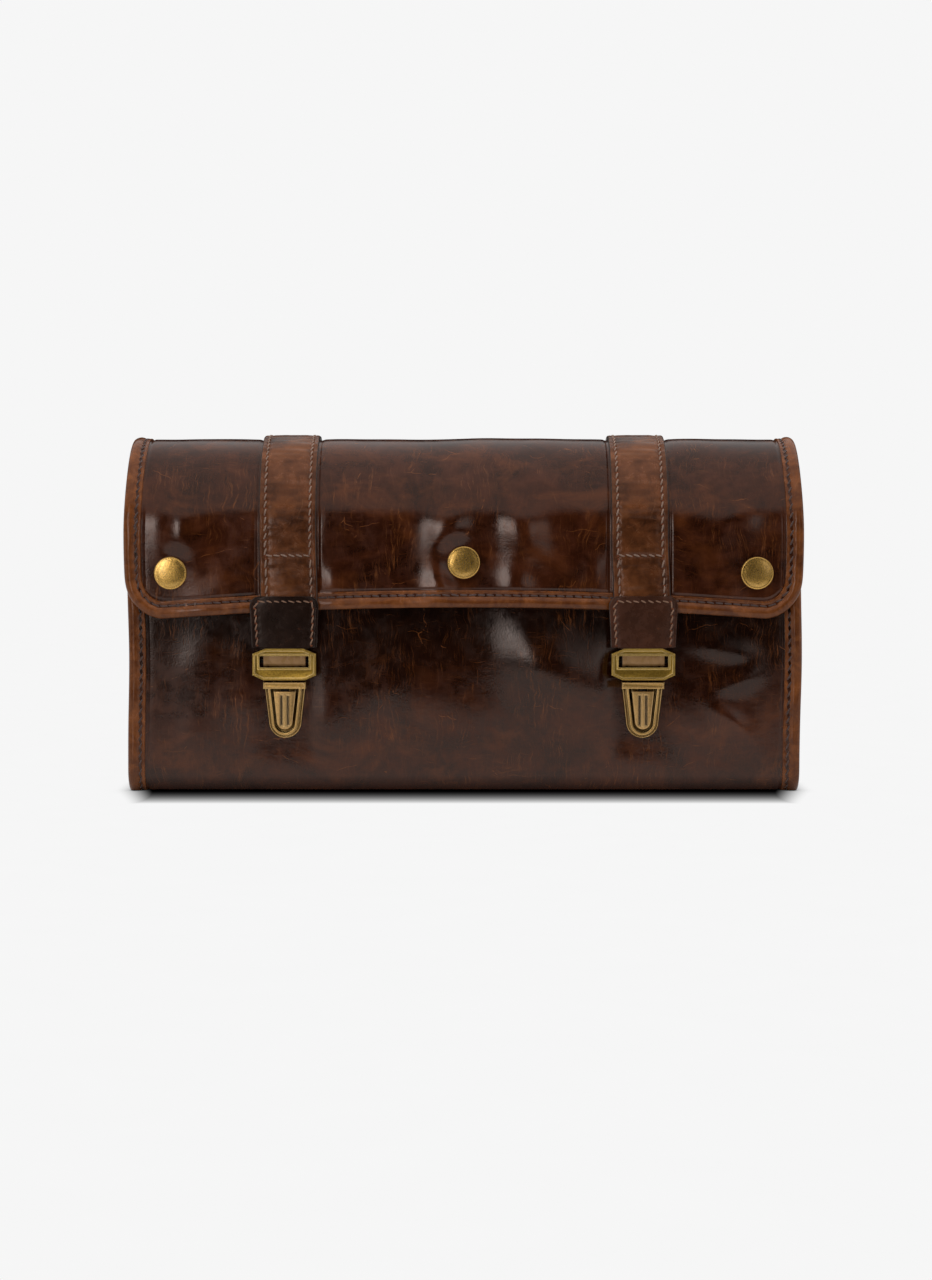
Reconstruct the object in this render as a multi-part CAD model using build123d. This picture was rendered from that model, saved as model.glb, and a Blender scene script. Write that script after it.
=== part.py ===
"""A leather shaving kit bag with a wrap-over flap, three press studs and two strapped tuck locks.

Frame: +X is the bag's right seen from the front, -Y faces the front, +Z is up.
The origin is the middle of the base on the ground. Every length is in millimetres.

Sewn layers are written as depths below the outer skin: depth 0 is the skin itself and a
positive depth lies deeper in the bag. A negative depth stands proud of the skin.
"""

from build123d import *
from math import cos, radians, sin
import os

# ---- Bag form -----------------------------------------------------------------------
WIDTH = 300.0
HALF_W = WIDTH / 2
FRONT_Y = -40.0  # skin of the body's front panel
BACK_Y = 40.0  # skin of the back panel
BASE_R = 10.0  # corners between the base and the front and back panels
FLAP_Y = -44.0  # skin of the flap's hanging front
TOP_R = (BACK_Y - FLAP_Y) / 2  # half-round top of the bag
TOP_Y = (BACK_Y + FLAP_Y) / 2
TOP_Z = 115.6  # height of the half-round's centre
MOUTH_Z = 116.0  # upper edge of the body's front panel

# ---- Flap ---------------------------------------------------------------------------
HINGE_DEG = 45.0  # where the flap folds, measured round the half-round from the back
HINGE_SPLIT_DEG = 0.5  # each side stops this far short of the fold line
FLAP_SIDE_Z = 77.2  # lower edge near the corners
FLAP_MID_Z = 81.8  # lower edge in the middle, where it arches
FLAP_EDGE_X = 127.0  # where the arch of the lower edge ends
FLAP_CORNER_R = 18.0

# ---- Sewn layers --------------------------------------------------------------------
SKIN = 1.8
LINING = 0.6
SEAM_GAP = 0.05  # air between two layers that lie on each other
BINDING = 0.9
BINDING_W = 7.7
GUSSET = 1.2
GUSSET_X = 139.8  # inner face of each gusset
LINING_TOP = SKIN + SEAM_GAP
LINING_FLOOR = LINING_TOP + LINING
FLANGE_FLOOR = LINING_TOP + GUSSET
FLAP_FLOOR = LINING_FLOOR  # depth of the flap's inner face
SKIVED = BINDING + SEAM_GAP  # bound margins are thinned to take the binding flush
SEAM_X = HALF_W - BINDING_W

# ---- Straps -------------------------------------------------------------------------
STRAP_X = 78.0
STRAP_W = 25.4
STRAP_T = 1.7
STRAP_SEAM_Z = 104.0  # cross stitch where the sewn strap ends and the free end starts
STRAP_SPLIT = 0.4
REAR_STRAP_Z = 52.0  # lower end of the strap on the back panel
STRAP_END_Z = 67.0  # lower end of the strap, inside the tab
STRAP_STEP_Z = 92.0  # below this the free end hangs clear of the flap's edge
STRAP_STEP = 0.45

# ---- Strap tab and tuck lock ----------------------------------------------------------
LOCK_X = 79.5
TAB_TOP_Z = 87.6
TAB_TOP_W = 30.9
TAB_LOW_W = 28.6
TAB_SHOULDER_Z = 64.9
TAB_NECK_W = 19.0
TAB_T = 1.1
TAB_CORNER_R = 4.5
TAB_BACK_Z = 68.8
BAR_R = 0.85
BAR_Z = 58.7
BAR_LEN = 25.6
LOOP_R = 0.95  # inside radius of the tab where it goes round the bar
TAB_FRONT_Y = FLAP_Y - SEAM_GAP - STRAP_STEP - STRAP_T - 2 * SEAM_GAP - TAB_T
BAR_Y = TAB_FRONT_Y + TAB_T + LOOP_R

PLATE_W = 28.1
PLATE_TOP_Z = 64.5
PLATE_LOW_Z = 50.4
PLATE_WALL = 1.2
PLATE_FRONT_Y = TAB_FRONT_Y - SEAM_GAP - PLATE_WALL
PLATE_BACK_Y = -44.0
PLATE_FOOT_Y = -43.55  # back of the solid lower bar
PLATE_FOOT_Z = 55.0
WINDOW_W = 21.9
WINDOW_LOW_Z = 56.1
WINDOW_TOP_Z = 61.25
PANEL_T = 0.3  # how deep the faces of the fittings are sunk between their raised edges
PLATE_EDGE_W = 1.1
WINDOW_EDGE_W = 0.8
TONGUE_W = 10.0
TONGUE_T = 0.8
TONGUE_Y = -42.7  # back face of the tongue
TONGUE_LOW_Z = 43.5
TONGUE_HOLE_W = 4.0
RELEASE_TRAVEL = 8.0  # how far the tongue lifts to leave the case

CASE_TOP_Z = 46.5
CASE_LOW_Z = 24.4
CASE_TOP_W = 17.7
CASE_WAIST_W = 14.2
CASE_WAIST_Z = 31.4
CASE_FLANGE_T = 1.6
CASE_BASE_T = 0.8
CASE_RIM_Y = -45.2
CASE_FLANGE_W = 1.5
CASE_RIM_W = 1.0
CASE_EDGE_W = 0.45
LEDGE_EDGE_W = 0.65
LEDGE_W = 18.8
LEDGE_TOP_Z = 49.6
LEDGE_Y = -46.8
SLOT_W = 10.8
SLOT_BACK_Y = -42.4
SLOT_FRONT_Y = -43.8

BUTTON_TRAVEL = 1.2
BUTTON_TOP_Z = 45.4
BUTTON_LOW_Z = 28.4
BUTTON_TOP_W = 9.9
BUTTON_WAIST_W = 7.0
BUTTON_WAIST_Z = 31.9
BUTTON_FACE_Y = -45.9
BUTTON_T = 1.0
RIDGE_W = 1.1
RIDGE_T = 0.5
FLUTE_X = 1.45
FLUTE_W = 1.2
CATCH_Y = -42.1  # back face of the catch's spring leaf
CATCH_T = 0.4

RIVET_R = 0.8
RIVET_HOLE_R = 0.85
RIVET_SPOTS = [(-4.0, 42.8), (4.0, 42.8), (0.0, 30.4)]  # x from the lock's centre, and z
BACKPLATE_Y = -37.45
BACKPLATE_T = 0.8

# ---- Press studs ----------------------------------------------------------------------
STUD_SPOTS = [(-130.0, 97.8), (0.0, 102.5), (130.0, 97.8)]
CAP_R = 7.3
CAP_T = 2.0
CAP_EDGE_T = 1.1
SOCKET_R = 5.6
SOCKET_BARREL_R = 3.6
SOCKET_BORE_R = 2.75
FLAP_HOLE_R = 3.7
STUD_R = 5.2
STUD_HEAD_R = 2.55
STUD_NECK_R = 2.1
STUD_BORE_R = 1.35
POST_R = 1.3
POST_HEAD_R = 5.0
BODY_HOLE_R = 1.4

# ---- Inside ---------------------------------------------------------------------------
BOARD_T = 1.5
POCKET_W = 180.0
POCKET_LOW_Z = 24.0
POCKET_TOP_Z = 84.0
LOOP_COUNT = 5
LOOP_PITCH = 30.0
LOOP_OUT_R = 9.6
LOOP_BAND_T = 0.9
LOOP_LOW_Z = 92.0
LOOP_TOP_Z = 110.0


# ---- Profiles in the YZ plane ---------------------------------------------------------
def on_round(angle, depth):
    """A point of the half-round top at this depth; 0 degrees is the back, 180 the front."""
    r = TOP_R - depth
    return (TOP_Y + r * cos(radians(angle)), TOP_Z + r * sin(radians(angle)))


def round_arc(start, end, depth):
    """The half-round's arc between two angles at this depth."""
    middle = (start + end) / 2
    return ThreePointArc(on_round(start, depth), on_round(middle, depth), on_round(end, depth))


def body_path(depth, front_z=MOUTH_Z, end_deg=HINGE_DEG - HINGE_SPLIT_DEG):
    """Edges down the front, under the base and up the back to the fold, at this depth."""
    r = BASE_R - depth
    slant = r * sin(radians(45))
    front, back = FRONT_Y + depth, BACK_Y - depth
    front_c, back_c = FRONT_Y + BASE_R, BACK_Y - BASE_R
    return [
        Line((front, front_z), (front, BASE_R)),
        ThreePointArc((front, BASE_R), (front_c - slant, BASE_R - slant), (front_c, depth)),
        Line((front_c, depth), (back_c, depth)),
        ThreePointArc((back_c, depth), (back_c + slant, BASE_R - slant), (back, BASE_R)),
        Line((back, BASE_R), (back, TOP_Z)),
        round_arc(0, end_deg, depth),
    ]


def flap_path(depth, low_z, start_deg=HINGE_DEG + HINGE_SPLIT_DEG):
    """Edges from the fold over the top and down the flap's front to low_z, at this depth."""
    y = FLAP_Y + depth
    return [round_arc(start_deg, 180, depth), Line((y, TOP_Z), (y, low_z))]


def back_path(depth, low_z, end_deg=HINGE_DEG - HINGE_SPLIT_DEG):
    """Edges up the back panel from low_z to the fold, at this depth."""
    y = BACK_Y - depth
    return [Line((y, low_z), (y, TOP_Z)), round_arc(0, end_deg, depth)]


def band(path, top, floor, **limits):
    """The face between two depths of one path."""
    outer, inner = path(top, **limits), path(floor, **limits)
    caps = [Line(outer[0] @ 0, inner[0] @ 0), Line(outer[-1] @ 1, inner[-1] @ 1)]
    return make_face(Curve() + outer + inner + caps)


def across(face, x_from, x_to):
    """Extrudes a YZ face from one x to another."""
    return extrude(Plane.YZ.offset(x_from) * face, x_to - x_from)


def towards_front(face, y_back, y_front):
    """Extrudes an XZ face from y_back forwards to y_front."""
    return extrude(Plane.XZ.offset(-y_back) * face, y_back - y_front)


def front_disc(x, z, radius, y_back, y_front):
    """A round disc or pin whose axis points at the front."""
    return towards_front(Pos(x, z) * Circle(radius), y_back, y_front)


def both_sides(shape):
    """The shape's left and right mirror pair, as (left, right), from the right-hand one."""
    return mirror(shape, Plane.YZ), shape


def holes(spots, radius):
    """Pins through the whole front of the bag, to cut holes at these spots."""
    return [front_disc(x, z, radius, FRONT_Y + 8, FLAP_Y - 8) for x, z in spots]


def lock_rivet_spots():
    """Every lock rivet's x and z, for both locks."""
    return [(side * LOCK_X + x, z) for side in (-1, 1) for x, z in RIVET_SPOTS]


# ---- Body -----------------------------------------------------------------------------
def body_wrap():
    """The long outer panel: front, base and back in one piece, thinned where it is bound."""
    middle = across(band(body_path, 0, SKIN), -SEAM_X, SEAM_X)
    core_x = HALF_W - BINDING - SEAM_GAP
    core = across(band(body_path, SKIVED, SKIN), -core_x, core_x)
    return middle + core - holes(STUD_SPOTS, BODY_HOLE_R) - holes(lock_rivet_spots(), RIVET_HOLE_R)


def body_lining():
    """The lining of the outer panel, between the gussets."""
    x = GUSSET_X - SEAM_GAP
    lining = across(band(body_path, LINING_TOP, LINING_FLOOR), -x, x)
    return lining - holes(STUD_SPOTS, BODY_HOLE_R) - holes(lock_rivet_spots(), RIVET_HOLE_R)


def gusset():
    """The right side panel, with the flange that turns out into the bound seam."""
    end_deg = HINGE_DEG - HINGE_SPLIT_DEG
    edge = body_path(LINING_TOP)
    arch_start = on_round(HINGE_DEG + 2, TOP_R - 38.0)
    arch = ThreePointArc(arch_start, (TOP_Y - 11.0, TOP_Z + 34.9), (FRONT_Y + LINING_TOP, MOUTH_Z))
    link = Line(on_round(end_deg, LINING_TOP), arch_start)
    panel = across(make_face(Curve() + edge + [link, arch]), GUSSET_X, GUSSET_X + GUSSET)
    flange_x = HALF_W - BINDING - SEAM_GAP
    return panel + across(band(body_path, LINING_TOP, FLANGE_FLOOR), GUSSET_X, flange_x)


def body_binding():
    """The right edge binding, a folded strip round the panel's edge and the gusset's flange."""
    inner_top = FLANGE_FLOOR + SEAM_GAP
    inner_floor = inner_top + BINDING
    outer_leg = across(band(body_path, 0, BINDING), SEAM_X + SEAM_GAP, HALF_W)
    inner_leg = across(band(body_path, inner_top, inner_floor), SEAM_X, HALF_W)
    fold = across(band(body_path, 0, inner_floor), HALF_W - BINDING, HALF_W)
    return outer_leg + inner_leg + fold


def mouth_binding():
    """The strip folded over the front panel's upper edge."""
    x = GUSSET_X - SEAM_GAP
    low_z, top_z = MOUTH_Z - 7, MOUTH_Z + SEAM_GAP + BINDING
    outer_y, inner_y = FRONT_Y - SEAM_GAP, FRONT_Y + LINING_FLOOR + SEAM_GAP
    face = Polyline(
        (outer_y, low_z),
        (outer_y - BINDING, low_z),
        (outer_y - BINDING, top_z),
        (inner_y + BINDING, top_z),
        (inner_y + BINDING, low_z),
        (inner_y, low_z),
        (inner_y, MOUTH_Z + SEAM_GAP),
        (outer_y, MOUTH_Z + SEAM_GAP),
        close=True,
    )
    return across(make_face(face), -x, x)


def rear_strap():
    """The right strap's run up the back panel to the fold."""
    strip = band(back_path, -SEAM_GAP - STRAP_T, -SEAM_GAP, low_z=REAR_STRAP_Z)
    return across(strip, STRAP_X - STRAP_W / 2, STRAP_X + STRAP_W / 2)


# ---- Inside ---------------------------------------------------------------------------
def base_board():
    """The stiffening board that lies on the lining and keeps the base flat."""
    low_z = LINING_FLOOR + SEAM_GAP
    board = Pos(0, 0, low_z + BOARD_T / 2) * Box(274, 58, BOARD_T)
    return fillet(board.edges().filter_by(Axis.Z), 6)


def slip_pocket():
    """The open-topped pocket sewn to the back lining."""
    wall_y = BACK_Y - LINING_FLOOR - SEAM_GAP
    height = POCKET_TOP_Z - POCKET_LOW_Z
    block = Pos(0, wall_y - 1.5, POCKET_LOW_Z + height / 2) * Box(POCKET_W, 3.0, height)
    hollow = Pos(0, wall_y - 1.0, POCKET_LOW_Z + 2 + height / 2) * Box(POCKET_W - 4, 2.2, height)
    return block - hollow


def tool_loops():
    """The band sewn down between loops that hold a razor, brush and the like."""
    wall_y = BACK_Y - LINING_FLOOR - SEAM_GAP
    band_face = None
    for i in range(LOOP_COUNT):
        x = (i - (LOOP_COUNT - 1) / 2) * LOOP_PITCH
        ring = Pos(x, wall_y) * (Circle(LOOP_OUT_R) - Circle(LOOP_OUT_R - LOOP_BAND_T))
        band_face = ring if band_face is None else band_face + ring
    for i in range(LOOP_COUNT + 1):
        x = (i - LOOP_COUNT / 2) * LOOP_PITCH
        tab_w = LOOP_PITCH - 2 * LOOP_OUT_R + 1.0
        band_face = band_face + Pos(x, wall_y - LOOP_BAND_T / 2) * Rectangle(tab_w, LOOP_BAND_T)
    reach = LOOP_COUNT * LOOP_PITCH
    keep = Pos(0, wall_y - reach / 2) * Rectangle(2 * reach, reach)
    return extrude(Pos(0, 0, LOOP_LOW_Z) * (band_face & keep), LOOP_TOP_Z - LOOP_LOW_Z)


# ---- Flap -----------------------------------------------------------------------------
def flap_outline(inset=0.0):
    """The flap seen from the front, with an arched lower edge and round lower corners."""
    top = 200.0
    drop = FLAP_MID_Z - FLAP_SIDE_Z
    arch = ThreePointArc((-FLAP_EDGE_X, FLAP_SIDE_Z), (0, FLAP_MID_Z), (FLAP_EDGE_X, FLAP_SIDE_Z))
    corner_z = FLAP_SIDE_Z - 0.2 * drop
    edges = [
        arch,
        Line((FLAP_EDGE_X, FLAP_SIDE_Z), (HALF_W, corner_z)),
        Line((HALF_W, corner_z), (HALF_W, top)),
        Line((HALF_W, top), (-HALF_W, top)),
        Line((-HALF_W, top), (-HALF_W, corner_z)),
        Line((-HALF_W, corner_z), (-FLAP_EDGE_X, FLAP_SIDE_Z)),
    ]
    face = make_face(Curve() + edges)
    corners = [v for v in face.vertices() if abs(abs(v.X) - HALF_W) < 0.01 and v.Y < top - 1]
    face = fillet(corners, FLAP_CORNER_R)
    return offset(face, -inset) if inset else face


def flap_prism(inset=0.0):
    """Everything in front, above and behind that lies inside the flap's outline."""
    return towards_front(flap_outline(inset), BACK_Y + 20, FLAP_Y - 20)


def flap_band(top, floor):
    """A layer of the flap between two depths, before its outline is cut."""
    return across(band(flap_path, top, floor, low_z=FLAP_SIDE_Z - 6), -HALF_W, HALF_W)


def flap_skin():
    """The flap's outer leather, thinned where it is bound."""
    middle = flap_band(0, SKIN) & flap_prism(BINDING_W)
    core = flap_band(SKIVED, FLAP_FLOOR - SKIVED) & flap_prism(SKIVED)
    return middle + core - holes(STUD_SPOTS, FLAP_HOLE_R)


def flap_lining():
    """The flap's lining, inside the binding."""
    lining = flap_band(LINING_TOP, LINING_FLOOR) & flap_prism(BINDING_W + SEAM_GAP)
    return lining - holes(STUD_SPOTS, FLAP_HOLE_R)


def flap_binding():
    """The strip folded round the flap's sides, corners and lower edge."""
    legs = flap_band(0, BINDING) + flap_band(FLAP_FLOOR - BINDING, FLAP_FLOOR)
    legs = legs & flap_prism()
    legs = legs - flap_prism(BINDING_W - SEAM_GAP)
    fold = (flap_band(0, FLAP_FLOOR) & flap_prism()) - flap_prism(BINDING)
    return legs + fold


def flap_strap():
    """The right strap's sewn run from the fold, over the top, to the cross stitch."""
    low_z = STRAP_SEAM_Z + STRAP_SPLIT
    strip = band(flap_path, -SEAM_GAP - STRAP_T, -SEAM_GAP, low_z=low_z)
    return across(strip, STRAP_X - STRAP_W / 2, STRAP_X + STRAP_W / 2)


# ---- Free strap end, tab and lock plate -------------------------------------------------
def strap_end():
    """The right strap below the cross stitch; it hangs free and stops inside the tab."""
    top_z = STRAP_SEAM_Z - STRAP_SPLIT
    inner = FLAP_Y - SEAM_GAP
    outer = inner - STRAP_T
    face = Polyline(
        (inner, top_z),
        (inner - STRAP_STEP, STRAP_STEP_Z),
        (inner - STRAP_STEP, STRAP_END_Z),
        (outer - STRAP_STEP, STRAP_END_Z),
        (outer - STRAP_STEP, STRAP_STEP_Z),
        (outer, top_z),
        close=True,
    )
    return across(make_face(face), STRAP_X - STRAP_W / 2, STRAP_X + STRAP_W / 2)


def tab_outline():
    """The right tab seen from the front: round upper corners, a slight taper and a neck."""
    high, low, neck = TAB_TOP_W / 2, TAB_LOW_W / 2, TAB_NECK_W / 2
    foot = BAR_Z - 5
    sides = Polyline(
        (-high, TAB_TOP_Z),
        (high, TAB_TOP_Z),
        (low, TAB_SHOULDER_Z),
        (neck, TAB_SHOULDER_Z),
        (neck, foot),
        (-neck, foot),
        (-neck, TAB_SHOULDER_Z),
        (-low, TAB_SHOULDER_Z),
        close=True,
    )
    face = make_face(sides)
    corners = [v for v in face.vertices() if v.Y > TAB_TOP_Z - 0.01]
    return Pos(LOCK_X, 0) * fillet(corners, TAB_CORNER_R)


def strap_tab():
    """The right tab: a leather strip from the strap's face, round the bar and back up."""
    out_r = LOOP_R + TAB_T
    outer_y, inner_y = BAR_Y - out_r, BAR_Y - LOOP_R
    edges = [
        Line((outer_y, TAB_TOP_Z), (outer_y, BAR_Z)),
        ThreePointArc((outer_y, BAR_Z), (BAR_Y, BAR_Z - out_r), (BAR_Y + out_r, BAR_Z)),
        Line((BAR_Y + out_r, BAR_Z), (BAR_Y + out_r, TAB_BACK_Z)),
        Line((BAR_Y + out_r, TAB_BACK_Z), (BAR_Y + LOOP_R, TAB_BACK_Z)),
        Line((BAR_Y + LOOP_R, TAB_BACK_Z), (BAR_Y + LOOP_R, BAR_Z)),
        ThreePointArc((BAR_Y + LOOP_R, BAR_Z), (BAR_Y, BAR_Z - LOOP_R), (inner_y, BAR_Z)),
        Line((inner_y, BAR_Z), (inner_y, TAB_TOP_Z)),
        Line((inner_y, TAB_TOP_Z), (outer_y, TAB_TOP_Z)),
    ]
    strip = across(make_face(Curve() + edges), LOCK_X - TAB_TOP_W, LOCK_X + TAB_TOP_W)
    return strip & towards_front(tab_outline(), FRONT_Y, PLATE_FRONT_Y)


def plate_outline():
    """The right lock plate seen from the front, an oblong with cut corners."""
    half = PLATE_W / 2
    top_x, low_x = 8.4, 9.2
    top_cut, low_cut = 2.4, 2.3
    return make_face(
        Polyline(
            (-top_x, PLATE_TOP_Z),
            (top_x, PLATE_TOP_Z),
            (half, PLATE_TOP_Z - top_cut),
            (half, PLATE_LOW_Z + low_cut),
            (low_x, PLATE_LOW_Z),
            (-low_x, PLATE_LOW_Z),
            (-half, PLATE_LOW_Z + low_cut),
            (-half, PLATE_TOP_Z - top_cut),
            close=True,
        )
    )


def lock_plate():
    """The right lock's upper plate: a pressed shell with a window and a solid lower bar."""
    outline = plate_outline()
    shell = towards_front(outline, PLATE_BACK_Y, PLATE_FRONT_Y)
    front = shell.faces().sort_by(Axis.Y)[0]
    shell = chamfer(front.edges(), 0.55)
    hollow = offset(outline, -PLATE_WALL)
    shell = shell - towards_front(hollow, PLATE_BACK_Y + 1, PLATE_FRONT_Y + PLATE_WALL)
    middle_z = (WINDOW_LOW_Z + WINDOW_TOP_Z) / 2
    window_h = WINDOW_TOP_Z - WINDOW_LOW_Z
    window = Pos(0, middle_z) * Rectangle(WINDOW_W, window_h)
    shell = shell - towards_front(window, FRONT_Y, PLATE_FRONT_Y - 1)
    edge = Pos(0, middle_z) * Rectangle(WINDOW_W + 2 * WINDOW_EDGE_W, window_h + 2 * WINDOW_EDGE_W)
    panel = offset(outline, -PLATE_EDGE_W) - edge
    shell = shell - towards_front(panel, PLATE_FRONT_Y + PANEL_T, PLATE_FRONT_Y - 1)
    neck = Pos(0, PLATE_TOP_Z) * Rectangle(TAB_NECK_W + 0.6, 3 * PLATE_WALL)
    shell = shell - towards_front(neck, FRONT_Y, PLATE_FRONT_Y + PLATE_WALL)
    bar_low, bar_height = PLATE_LOW_Z + 0.4, PLATE_FOOT_Z - PLATE_LOW_Z - 0.4
    bar = Pos(0, bar_low + bar_height / 2) * Rectangle(2 * 9.0, bar_height)
    shell = shell + towards_front(bar, PLATE_FOOT_Y, PLATE_FRONT_Y + PLATE_WALL)
    pins = [front_disc(x, 53.0, 0.72, FRONT_Y, -45.1) for x in (-3.2, 3.2)]
    return Pos(LOCK_X, 0, 0) * (shell - pins)


def lock_bar():
    """The bar behind the right plate's window that the tab goes round."""
    return Pos(LOCK_X, BAR_Y, BAR_Z) * Rot(0, 90, 0) * Cylinder(BAR_R, BAR_LEN)


def lock_tongue():
    """The right lock's tongue, with the hole that the catch's nib drops into."""
    half, tip = TONGUE_W / 2, 1.2
    outline = Polyline(
        (-half, PLATE_FOOT_Z),
        (half, PLATE_FOOT_Z),
        (half, TONGUE_LOW_Z + tip),
        (half - tip, TONGUE_LOW_Z),
        (-half + tip, TONGUE_LOW_Z),
        (-half, TONGUE_LOW_Z + tip),
        close=True,
    )
    face = make_face(outline) - Pos(0, 46.2) * Rectangle(TONGUE_HOLE_W, 2.4)
    face = face - [Pos(x, 53.0) * Circle(0.72) for x in (-3.2, 3.2)]
    return Pos(LOCK_X, 0, 0) * towards_front(face, TONGUE_Y, TONGUE_Y - TONGUE_T)


def tongue_rivets():
    """The two small rivets that hold the right tongue to its plate."""
    pins = []
    for x in (-3.2, 3.2):
        shank = front_disc(LOCK_X + x, 53.0, 0.7, TONGUE_Y + 0.05, -45.0)
        pins.append(shank + front_disc(LOCK_X + x, 53.0, 1.1, TONGUE_Y + 0.35, TONGUE_Y + 0.05))
    return pins


# ---- Lock case on the body --------------------------------------------------------------
def case_outline(inset=0.0):
    """The right lock case seen from the front: straight tapering sides and a round foot."""
    top, waist = CASE_TOP_W / 2 - inset, CASE_WAIST_W / 2 - inset
    low = CASE_LOW_Z + inset
    edges = [
        Line((-top, CASE_TOP_Z), (top, CASE_TOP_Z)),
        Line((top, CASE_TOP_Z), (waist, CASE_WAIST_Z)),
        ThreePointArc((waist, CASE_WAIST_Z), (0, low), (-waist, CASE_WAIST_Z)),
        Line((-waist, CASE_WAIST_Z), (-top, CASE_TOP_Z)),
    ]
    return make_face(Curve() + edges)


def lock_case():
    """The right lock's case: a flanged cup with a raised rim and a slotted ledge on top."""
    back_y = FRONT_Y - SEAM_GAP
    flange = towards_front(case_outline(), back_y, FRONT_Y - CASE_FLANGE_T)
    rim = towards_front(case_outline(CASE_FLANGE_W), back_y, CASE_RIM_Y)
    ledge_z = (CASE_TOP_Z + LEDGE_TOP_Z) / 2
    ledge_h = LEDGE_TOP_Z - CASE_TOP_Z
    ledge_face = Pos(0, ledge_z) * Rectangle(LEDGE_W, ledge_h)
    ledge = towards_front(ledge_face, back_y, LEDGE_Y)
    ledge = chamfer(ledge.faces().sort_by(Axis.Y)[0].edges(), 0.25)
    panel = Pos(0, ledge_z) * Rectangle(LEDGE_W - 2 * LEDGE_EDGE_W, ledge_h - 2 * LEDGE_EDGE_W)
    ledge = ledge - towards_front(panel, LEDGE_Y + PANEL_T, LEDGE_Y - 1)
    groove = case_outline(CASE_EDGE_W) - case_outline(CASE_FLANGE_W - 0.15)
    flange = flange - towards_front(groove, FRONT_Y - CASE_FLANGE_T + PANEL_T, LEDGE_Y)
    case = flange + rim + ledge
    cup = case_outline(CASE_FLANGE_W + CASE_RIM_W)
    case = case - towards_front(cup, back_y - CASE_BASE_T, LEDGE_Y)
    slot = Pos(0, ledge_z) * Rectangle(SLOT_W, ledge_h + 1)
    case = case - towards_front(slot, SLOT_BACK_Y, SLOT_FRONT_Y)
    case = case - [front_disc(x, z, RIVET_HOLE_R, FRONT_Y + 1, CASE_RIM_Y) for x, z in RIVET_SPOTS]
    return Pos(LOCK_X, 0, 0) * case


def lock_button():
    """The right lock's push button, with its finger ridge and the boss behind it."""
    top, waist = BUTTON_TOP_W / 2, BUTTON_WAIST_W / 2
    edges = [
        Line((-top, BUTTON_TOP_Z), (top, BUTTON_TOP_Z)),
        Line((top, BUTTON_TOP_Z), (waist, BUTTON_WAIST_Z)),
        ThreePointArc((waist, BUTTON_WAIST_Z), (0, BUTTON_LOW_Z), (-waist, BUTTON_WAIST_Z)),
        Line((-waist, BUTTON_WAIST_Z), (-top, BUTTON_TOP_Z)),
    ]
    plate = towards_front(make_face(Curve() + edges), BUTTON_FACE_Y + BUTTON_T, BUTTON_FACE_Y)
    plate = chamfer(plate.faces().sort_by(Axis.Y)[0].edges(), 0.3)
    middle_z = (BUTTON_TOP_Z + BUTTON_LOW_Z) / 2
    ridge_h = BUTTON_TOP_Z - BUTTON_LOW_Z - 2.2
    flutes = [Pos(x, middle_z) * Rectangle(FLUTE_W, ridge_h - 1) for x in (-FLUTE_X, FLUTE_X)]
    plate = plate - [towards_front(f, BUTTON_FACE_Y + PANEL_T, LEDGE_Y) for f in flutes]
    ridge_face = Pos(0, middle_z) * Rectangle(RIDGE_W, ridge_h)
    ridge = towards_front(ridge_face, BUTTON_FACE_Y + 0.2, BUTTON_FACE_Y - RIDGE_T)
    ridge = chamfer(ridge.faces().sort_by(Axis.Y)[0].edges(), 0.25)
    boss_face = Pos(0, 36.5) * Rectangle(4.0, 6.0)
    boss = towards_front(boss_face, CATCH_Y - CATCH_T - SEAM_GAP, BUTTON_FACE_Y + BUTTON_T)
    return Pos(LOCK_X, 0, 0) * (plate + ridge + boss)


def lock_catch():
    """The right lock's spring leaf, whose nib holds the tongue until the button is pressed."""
    leaf_face = Pos(0, 39.7) * Rectangle(5.2, 13.4)
    leaf = towards_front(leaf_face, CATCH_Y, CATCH_Y - CATCH_T)
    nib = towards_front(Pos(0, 45.8) * Rectangle(3.2, 1.2), CATCH_Y - CATCH_T, TONGUE_Y - 0.7)
    return Pos(LOCK_X, 0, 0) * (leaf + nib)


def lock_backplate():
    """The plate inside the bag that the right lock's rivets clamp against."""
    face = Pos(0, 36.5) * RectangleRounded(14.0, 20.0, 3.0)
    face = face - [Pos(x, z) * Circle(RIVET_HOLE_R) for x, z in RIVET_SPOTS]
    return Pos(LOCK_X, 0, 0) * towards_front(face, BACKPLATE_Y + BACKPLATE_T, BACKPLATE_Y)


def lock_rivets():
    """The right lock's three rivets, from inside the case through to the backplate."""
    tail_y = BACKPLATE_Y + BACKPLATE_T + SEAM_GAP
    head_y = FRONT_Y - SEAM_GAP - CASE_BASE_T - SEAM_GAP
    pins = []
    for x, z in RIVET_SPOTS:
        shank = front_disc(LOCK_X + x, z, RIVET_R, tail_y + 0.5, head_y - 0.4)
        tail = front_disc(LOCK_X + x, z, 1.5, tail_y + 0.5, tail_y)
        head = front_disc(LOCK_X + x, z, 1.2, head_y, head_y - 0.4)
        pins.append(shank + tail + head)
    return pins


# ---- Press studs ------------------------------------------------------------------------
def turned(points, x, z):
    """A round part turned from (radius, y) points, with its axis at x and z facing the front."""
    profile = make_face(Polyline(*points, close=True))
    return Pos(x, 0, z) * revolve(profile, Axis.Y)


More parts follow.
